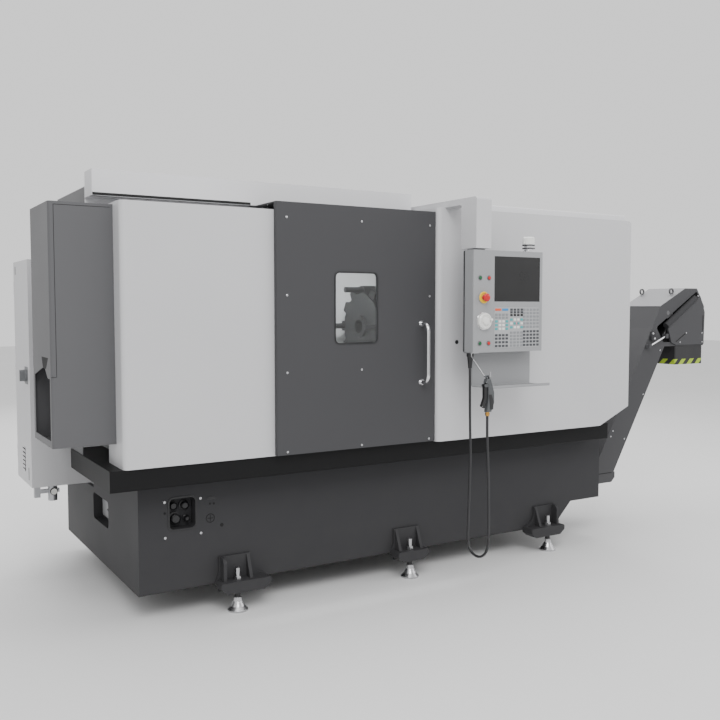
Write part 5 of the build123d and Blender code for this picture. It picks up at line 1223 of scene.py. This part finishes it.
@dataclass
class Enclosure:
    """Sheet-metal housing round the work area."""

    port: Flat = (-0.246, 1.284)

    def build(self) -> None:
        """Finish the panels and add seams, screws and plugs."""
        coat(Paint.LIGHT, "left_front_panel", "right_front_panel")
        coat(Paint.ROOF, "roof_panel", "header_box")
        coat(Paint.SILL, "enclosure_pan")
        coat(Paint.CABINET, "end_cabinet", "left_end_wall")
        coat(Paint.LIGHT, "right_end_wall", "rear_wall")
        self._front_details()
        self._end_cabinet_details()
        self._rear_details()
        self._roof_details()

    def _front_details(self) -> None:
        """Plug in the right panel, and a black strip along the door's right edge that paints the
        shadow in the gap to the right panel.
        """
        right = Extent.of("right_front_panel")
        x, z = self.port
        plug = Shape("panel_plug")
        plug.turned(
            [(0, 0), (0.011, 0), (0.011, 0.0015), (0.008, 0.003), (0, 0.003)],
            (x, right.low.y, z), Axis.FRONT, Paint.BLACK, 28,
        )
        plug.place("frame")
        door = Extent.of("sliding_door")
        # Painted shadow: a thin black sheet set back in the gap at the door's right edge stands for
        # the shade there.
        strip = Shape("door_edge_shadow_strip")
        strip.box(
            (door.high.x + 0.0005, door.low.y + 0.006, door.low.z),
            (door.high.x + 0.0035, door.low.y + 0.022, 1.967), Paint.BLACK, 0.0006,
        )
        strip.place("frame")

    def _end_cabinet_details(self) -> None:
        """Seam lines, vent mark and inner back of the spindle-end cabinet."""
        cabinet = Extent.of("end_cabinet")
        seam = Shape("end_cabinet_seams")
        front = cabinet.low.y
        line = cabinet.low.x + 0.022
        for low, high in (
            ((line, 1.169), (line + 0.002, 1.905)),
            ((line, 1.905), (cabinet.high.x - 0.012, 1.907)),
            ((cabinet.low.x, 1.168), (line, 1.170)),
        ):
            seam.box(
                (low[0], front - STAND_OFF, low[1]), (high[0], front + 0.001, high[1]),
                Paint.SEAM_AND_SHADOW, 0.0,
            )
        seam.pressed(
            [(0.350, 1.25), (0.377, 1.20), (0.442, 1.20), (0.490, 1.25)],
            (cabinet.low.x, 0.0, 0.0), Axis.LEFT, 0.0002, Paint.SEAM_AND_SHADOW,
        )
        seam.place("frame")
        liner = Shape("end_cabinet_liner")
        liner.box(
            (cabinet.low.x + 0.09, cabinet.low.y + 0.01, cabinet.low.z + 0.01),
            (cabinet.low.x + 0.093, cabinet.high.y - 0.01, cabinet.low.z + 0.36), Paint.INNER, 0.0,
        )
        liner.place("frame")

    def _rear_details(self) -> None:
        """Seams, screws and a vent on the rear wall."""
        wall = Extent.of("rear_wall")
        seams = Shape("rear_wall_seams")
        for x in (-1.15, -0.30, 0.40):
            seams.box(
                (x, wall.high.y - 0.0005, wall.low.z + 0.02),
                (x + 0.003, wall.high.y + STAND_OFF, wall.high.z - 0.02), Paint.SEAM_AND_SHADOW, 0.0,
            )
        seams.place("frame")
        low, high = wall.low.z, wall.high.z
        screws(
            "rear_wall_screws", "frame", Axis.REAR, 0.006,
            [
                (x, wall.high.y, z)
                for x in (-1.19, -1.11, -0.34, -0.26, 0.36, 0.44, 1.03)
                for z in (low + 0.08, low + 0.52, low + 0.95, high - 0.06)
            ],
        )
        vent = Shape("rear_wall_louvres")
        for row in range(9):
            z = 1.40 + row * 0.034
            vent.pressed(
                [
                    (-0.14, 0), (0.14, 0), (0.14, 0.006),
                    (0.13, 0.022), (-0.13, 0.022), (-0.14, 0.006),
                ],
                (0.75, wall.high.y, z), Axis.REAR, 0.011, Paint.LIGHT, 0.004,
            )
        vent.place("frame")

    def _roof_details(self) -> None:
        """Seams of the roof, and a black strip along the header box's foot that paints the shadow
        in the gap under it.
        """
        roof = Extent.of("roof_panel")
        header = Extent.of("header_box")
        seams = Shape("roof_seams_and_header_shadow")
        for x in (-1.30, -0.50, 0.42):
            seams.box(
                (x, header.high.y + 0.02, roof.high.z - 0.0005),
                (x + 0.003, roof.high.y - 0.01, roof.high.z + STAND_OFF), Paint.SEAM_AND_SHADOW, 0.0,
            )
        # Painted shadow: a near-black strip on the header box's front, along its foot, stands for
        # the shade in the gap beneath it.
        seams.box(
            (header.low.x + 0.002, header.low.y - 0.0012, header.low.z + 0.001),
            (Extent.of("sliding_door").low.x - 0.01, header.low.y, header.low.z + 0.013),
            Paint.SEAM_AND_SHADOW, 0.0,
        )
        seams.place("frame")


@dataclass
class BaseDress:
    """Base casting, its pocket with plugs, brackets and levelling feet."""

    pocket: Tuple[float, float, float, float] = (-1.768, -1.640, 0.425, 0.573)
    screw_places: Tuple[Flat, ...] = (
        (-1.790, 0.560), (-1.614, 0.560), (-1.789, 0.391), (-1.613, 0.392),
    )
    ring_port: Flat = (-1.565, 0.458)
    feet: Tuple[float, ...] = (-1.446, -0.434, 0.578)
    pad_radius: float = 0.050
    base: Extent = field(default_factory=lambda: Extent.of("base_casting"))

    def build(self) -> None:
        """Finish the castings and add what is bolted to them."""
        coat(Paint.CASTING, "base_casting")
        coat(Paint.CASTING, "foot_brackets")
        coat(Paint.STEEL, "leveling_feet")
        face = self.base.low.y
        x0, x1, z0, z1 = self.pocket
        rim_piece = Shape("pocket_rim")
        rim(
            rim_piece,
            rounded(x1 - x0 + 0.014, z1 - z0 + 0.014, 0.028),
            rounded(x1 - x0 - 0.002, z1 - z0 - 0.002, 0.021),
            ((x0 + x1) / 2, face, (z0 + z1) / 2), 0.003,
        )
        rim_piece.place("frame")
        screws(
            "pocket_screws", "frame", Axis.FRONT, 0.007,
            [(x, face, z) for x, z in self.screw_places],
        )
        plugs = Shape("pocket_plugs")
        for x, z, radius in (
            (-1.735, 0.529, 0.019), (-1.679, 0.526, 0.019), (-1.724, 0.466, 0.025),
            (-1.669, 0.462, 0.013),
        ):
            plugs.turned(
                [
                    (0, 0), (radius * 1.25, 0), (radius * 1.25, 0.008), (radius, 0.010),
                    (radius, 0.030), (radius * 0.8, 0.034), (radius * 0.7, 0.028), (0, 0.028),
                ],
                (x, face + 0.060, z), Axis.FRONT, Paint.BLACK, 28,
            )
        plugs.place("frame")
        ports = Shape("base_ports")
        for x, z, radius in (
            (-1.789, 0.508, 0.006), (-1.566, 0.5285, 0.005), (-1.547, 0.527, 0.005),
            (-1.507, 0.418, 0.009),
        ):
            ports.turned(
                [(0, 0), (radius, 0), (radius, 0.0012), (radius * 0.7, 0.002), (0, 0.0005)],
                (x, face, z), Axis.FRONT, Paint.SEAM_AND_SHADOW, 24,
            )
        ports.pressed(
            rounded(0.044, 0.016, 0.0079), (-1.559, face, 0.555), Axis.FRONT, 0.002,
            Paint.BLACK, 0.0006,
        )
        port_x, port_z = self.ring_port
        ports.ring(0.0225, 0.0185, 0.0015, (port_x, face, port_z), Axis.FRONT, Paint.SEAM_AND_SHADOW)
        for wide, high in ((0.015, 0.0015), (0.0015, 0.015)):
            ports.box(
                (port_x - wide, face - 0.0015, port_z - high),
                (port_x + wide, face, port_z + high), Paint.SEAM_AND_SHADOW, 0.0,
            )
        ports.place("frame")
        self._end_opening()
        self._stud_sleeves()

    def _end_opening(self) -> None:
        """Cover plate inside the opening of the spindle end."""
        plate = Shape("end_opening_plate")
        back = self.base.low.x + 0.049
        plate.pressed(
            rounded(0.272, 0.112, 0.010), (back, 0.1655, 0.405), Axis.LEFT, 0.004, Paint.CONSOLE,
            0.001,
        )
        plate.pressed(
            [(-0.045, -0.012), (0.030, -0.030), (0.045, 0.026)], (back - 0.004, 0.1655, 0.405),
            Axis.LEFT, STAND_OFF, Paint.SEAM_AND_SHADOW,
        )
        for y in (0.045, 0.286):
            for z in (0.362, 0.448):
                plate.screw((back - 0.004, y, z), Axis.LEFT, 0.005)
        plate.place("frame")

    def _stud_sleeves(self) -> None:
        """Dark sleeves round the levelling studs between their nuts and pads."""
        sleeves = Shape("stud_sleeves")
        feet = Extent.of("leveling_feet")
        for x in self.feet:
            for y in (feet.low.y + self.pad_radius, feet.high.y - self.pad_radius):
                sleeves.turned(
                    [(0.0121, 0.068), (0.0150, 0.068), (0.0150, 0.112), (0.0121, 0.112)],
                    (x, y, 0.0), Axis.Z, Paint.BLACK, 28,
                )
        sleeves.place("frame")


@dataclass
class Conveyor:
    """Chip conveyor housing, lid, chute and drive."""

    climb_screws: Tuple[Flat, ...] = (
        (1.668, 0.869), (1.490, 0.574), (1.832, 1.169), (1.379, 0.636), (1.359, 0.600),
    )
    cover_screws: Tuple[Flat, ...] = (
        (2.025, 1.222), (2.264, 1.219), (2.262, 1.283), (2.090, 1.287), (2.208, 1.549),
    )
    rod_ends: Tuple[Flat, Flat] = ((1.6938, 1.1999), (1.8700, 1.2721))
    guard_ends: Tuple[Flat, Flat] = ((1.885, 1.338), (2.190, 1.534))
    eye_place: Flat = (1.9740, 1.5808)
    eye_inset: float = 0.030
    motor_height: float = 1.375
    rib_circle: float = 0.061
    ribs: int = 16

    def build(self) -> None:
        """Finish the conveyor and add its small parts in turn."""
        coat(Paint.CHARCOAL, "conveyor_trough")
        coat(Paint.LID, "conveyor_lid")
        coat(Paint.SKIRT, "chip_chute")
        coat(Paint.OILED, "conveyor_belt", "conveyor_drum")
        coat(Paint.CASTING, "conveyor_motor")
        lid = Extent.of("conveyor_lid")
        motor = Extent.of("conveyor_motor")
        front = lid.low.y
        cover = front - 0.012
        screws(
            "conveyor_screws", "frame", Axis.FRONT, 0.006,
            [(x, front, z) for x, z in self.climb_screws]
            + [(x, cover, z) for x, z in self.cover_screws],
        )
        slots = Shape("conveyor_slots")
        slots.pressed(
            [(1.980, 1.2290), (1.984, 1.2235), (2.083, 1.2800), (2.079, 1.2860)],
            (0.0, cover, 0.0), Axis.FRONT, STAND_OFF, Paint.SEAM_AND_SHADOW,
        )
        slots.box((2.264, cover - STAND_OFF, 1.300), (2.272, cover, 1.410), Paint.SEAM_AND_SHADOW, 0.0)
        slots.box((1.250, front - STAND_OFF, 0.352), (1.372, front, 0.357), Paint.SEAM_AND_SHADOW, 0.0)
        slots.place("frame")
        drive = Shape("chain_guard")
        (low_x, low_z), (high_x, high_z) = self.guard_ends
        drive.tube(
            [(low_x, front - 0.002, low_z), (high_x, front - 0.002, high_z)], 0.023, Paint.CASTING,
            24,
        )
        (low_x, low_z), (high_x, high_z) = self.rod_ends
        drive.tube(
            [(low_x, front - 0.022, low_z), (high_x, front - 0.022, high_z)], 0.0066, Paint.CHROME
        )
        drive.box((1.722, front - 0.020, 1.240), (1.766, front, 1.300), Paint.CASTING, 0.003)
        for x, z in ((1.735, 1.288), (1.752, 1.253)):
            drive.bolt((x, front - 0.020, z), Axis.FRONT, 0.006)
        drive.place("frame")
        eyes = Shape("lifting_eyes")
        for y in (lid.low.y + self.eye_inset, lid.high.y - self.eye_inset):
            eyes.ring(
                0.0226, 0.0134, 0.0100, (self.eye_place[0], y + 0.0050, self.eye_place[1]),
                Axis.FRONT, Paint.BLACK,
            )
        eyes.place("frame")
        fan = Shape("conveyor_motor_cowl")
        x = motor.middle.x
        z = self.motor_height
        for step in range(self.ribs):
            turn = TURN * step / self.ribs
            across, up = self.rib_circle * math.cos(turn), self.rib_circle * math.sin(turn)
            fan.turned(
                [(0, 0), (0.0035, 0), (0.0035, 0.095), (0, 0.097)],
                (x + across, motor.high.y - 0.150, z + up), Axis.REAR, Paint.CASTING, 8,
            )
        fan.turned(
            [
                (0, 0.0), (0.067, 0.0), (0.067, 0.042), (0.060, 0.050),
                (0.030, 0.0505), (0.028, 0.0475), (0, 0.0475),
            ],
            (x, motor.high.y - 0.051, z), Axis.REAR, Paint.BLACK, 40,
        )
        fan.place("frame")

@dataclass
class PowerCabinet:
    """Electrical cabinet behind the machine, its switch, doors, drives and air unit."""

    shell: Extent = field(default_factory=lambda: Extent.of("electrical_cabinet"))

    def build(self) -> None:
        """Finish the cabinet and add its switch plate, slots, hinges and air unit."""
        coat(Paint.LIGHT, "electrical_cabinet", "cabinet_door_left", "cabinet_door_right")
        coat(Paint.GREY, "main_switch")
        coat(Paint.ALUMINIUM, "drive_modules", "air_regulator")
        side = self.shell.low.x
        plate = Shape("switch_plate")
        switch = Extent.of("main_switch").middle
        plate.pressed(
            rounded(0.092, 0.092, 0.006), (side, switch.y, switch.z), Axis.LEFT, 0.0008,
            Paint.GREY, 0.0003,
        )
        plate.place("frame")
        slots = Shape("cabinet_slots")
        for inset, z0, z1 in (
            (0.352, 1.647, 1.691), (0.180, 0.584, 0.718), (0.080, 0.553, 0.619),
        ):
            y = self.shell.low.y + inset
            slots.box(
                (side - STAND_OFF, y - 0.006, z0), (side + 0.001, y + 0.006, z1), Paint.SEAM_AND_SHADOW, 0.0
            )
        slots.place("frame")
        self._hinges()
        self._air_unit()

    def _hinges(self) -> None:
        """Three hinges on each door's outer edge, and louvres low on each door."""
        for door, body, sign in (
            ("cabinet_door_left", "left_cabinet_door", 1),
            ("cabinet_door_right", "right_cabinet_door", -1),
        ):
            extent = Extent.of(door)
            back = self.shell.high.y + 0.0223
            x = extent.low.x if sign > 0 else extent.high.x
            hinge = Shape(f"{door}_hinges")
            for z in (extent.low.z + 0.14, extent.middle.z, extent.high.z - 0.14):
                hinge.turned(
                    [(0, -0.035), (0.006, -0.035), (0.006, 0.035), (0, 0.035)],
                    (x + sign * 0.0065, back + 0.0045, z), Axis.Z, Paint.STEEL, 16,
                )
            hinge.place(body)
            vent = Shape(f"{door}_louvres")
            for row in range(7):
                vent.pressed(
                    [(-0.12, 0), (0.12, 0), (0.112, 0.014), (-0.112, 0.014)],
                    (extent.middle.x, back, extent.low.z + 0.08 + row * 0.026), Axis.REAR, 0.007,
                    Paint.LIGHT, 0.003,
                )
            vent.place(body)

    def _air_unit(self) -> None:
        """Gauge of the air preparation unit."""
        unit = Extent.of("air_regulator")
        x = unit.high.x - 0.034
        y = unit.middle.y
        gauge = Shape("air_gauge")
        gauge.turned(
            [(0, 0), (0.019, 0), (0.019, 0.012), (0.017, 0.014), (0, 0.0125)],
            (x, y - 0.024, unit.low.z + 0.052), Axis.FRONT, Paint.BLACK, 32,
        )
        gauge.turned(
            [(0, 0), (0.0158, 0), (0.0158, 0.0006), (0, 0.0006)],
            (x, y - 0.0378, unit.low.z + 0.052), Axis.FRONT, Paint.WHITE, 32,
        )
        gauge.place("frame")


@dataclass
class MachineInside:
    """Bed, headstock, spindle, chuck, turret, tailstock and coolant pumps."""

    pump_inset: float = 0.095
    rib_circle: float = 0.0715
    ribs: int = 18
    foot_bolt: float = 0.075
    foot_top: float = 0.516
    outlet: float = 0.575
    pipe_top: float = 0.80

    def build(self) -> None:
        """Finish the working parts and dress the coolant pumps."""
        coat(Paint.RAW, "slant_bed", "headstock", "carriage", "turret_slide", "tailstock_body")
        coat(
            Paint.STEEL, "guide_rails", "z_ball_screw", "spindle_shaft", "tailstock_quill",
            "chuck_jaw_1", "chuck_jaw_2", "chuck_jaw_3",
        )
        coat(Paint.OILED, "chuck_body")
        coat(Paint.OXIDE, "turret_disc", "tool_holders")
        coat(Paint.CASTING, "coolant_pumps")
        self._pump_parts()

    def _pump_parts(self) -> None:
        """Ribs, fan cowls, terminal boxes, bolts and delivery pipes of the coolant pumps."""
        pumps = Extent.of("coolant_pumps")
        wall = Extent.of("rear_wall")
        y = pumps.middle.y
        cowls = Shape("pump_cowls")
        pipes = Shape("pump_pipes")
        for x in (pumps.low.x + self.pump_inset, pumps.high.x - self.pump_inset):
            for step in range(self.ribs):
                turn = TURN * step / self.ribs
                across, along = self.rib_circle * math.cos(turn), self.rib_circle * math.sin(turn)
                place = (x + across, y + along, 0.63)
                cowls.turned(
                    [(0, 0), (0.004, 0), (0.004, 0.13), (0, 0.132)], place, Axis.Z,
                    Paint.CASTING, 8,
                )
            cowls.turned(
                [(0.070, 0.0), (0.0765, 0.0), (0.0765, 0.055), (0.066, 0.066), (0.066, 0.06)],
                (x, y, pumps.high.z - 0.066), Axis.Z, Paint.BLACK, 40,
            )
            cowls.box(
                (x + 0.066, y - 0.035, 0.69), (x + 0.112, y + 0.035, 0.75), Paint.CASTING, 0.004
            )
            for side_x in (-self.foot_bolt, self.foot_bolt):
                for side_y in (-self.foot_bolt, self.foot_bolt):
                    cowls.bolt((x + side_x, y + side_y, self.foot_top), Axis.Z, 0.008)
            pipes.tube(
                [
                    (x, y - 0.045, self.outlet), (x, y - 0.15, self.outlet),
                    (x, y - 0.15, self.pipe_top), (x, wall.high.y + 0.001, self.pipe_top),
                ],
                0.014, Paint.STEEL,
            )
            pipes.turned(
                [(0, 0), (0.030, 0), (0.030, 0.010), (0.022, 0.016), (0, 0.016)],
                (x, wall.high.y, self.pipe_top), Axis.REAR, Paint.STEEL, 6,
            )
        cowls.place("frame")
        pipes.place("frame")


def main() -> None:
    """Build the studio and every sub-assembly in order."""
    logging.basicConfig(level=logging.INFO, format="%(message)s")
    Studio().build()
    air_line = AirLine()
    air_line.build()
    for part in (
        Enclosure(), DoorDress(), SwingControl(), BaseDress(), Conveyor(), PowerCabinet(),
        MachineInside(),
    ):
        log.info("building %s", type(part).__name__)
        part.build()
    air_line.dress()


if __name__ == "__main__":
    main()
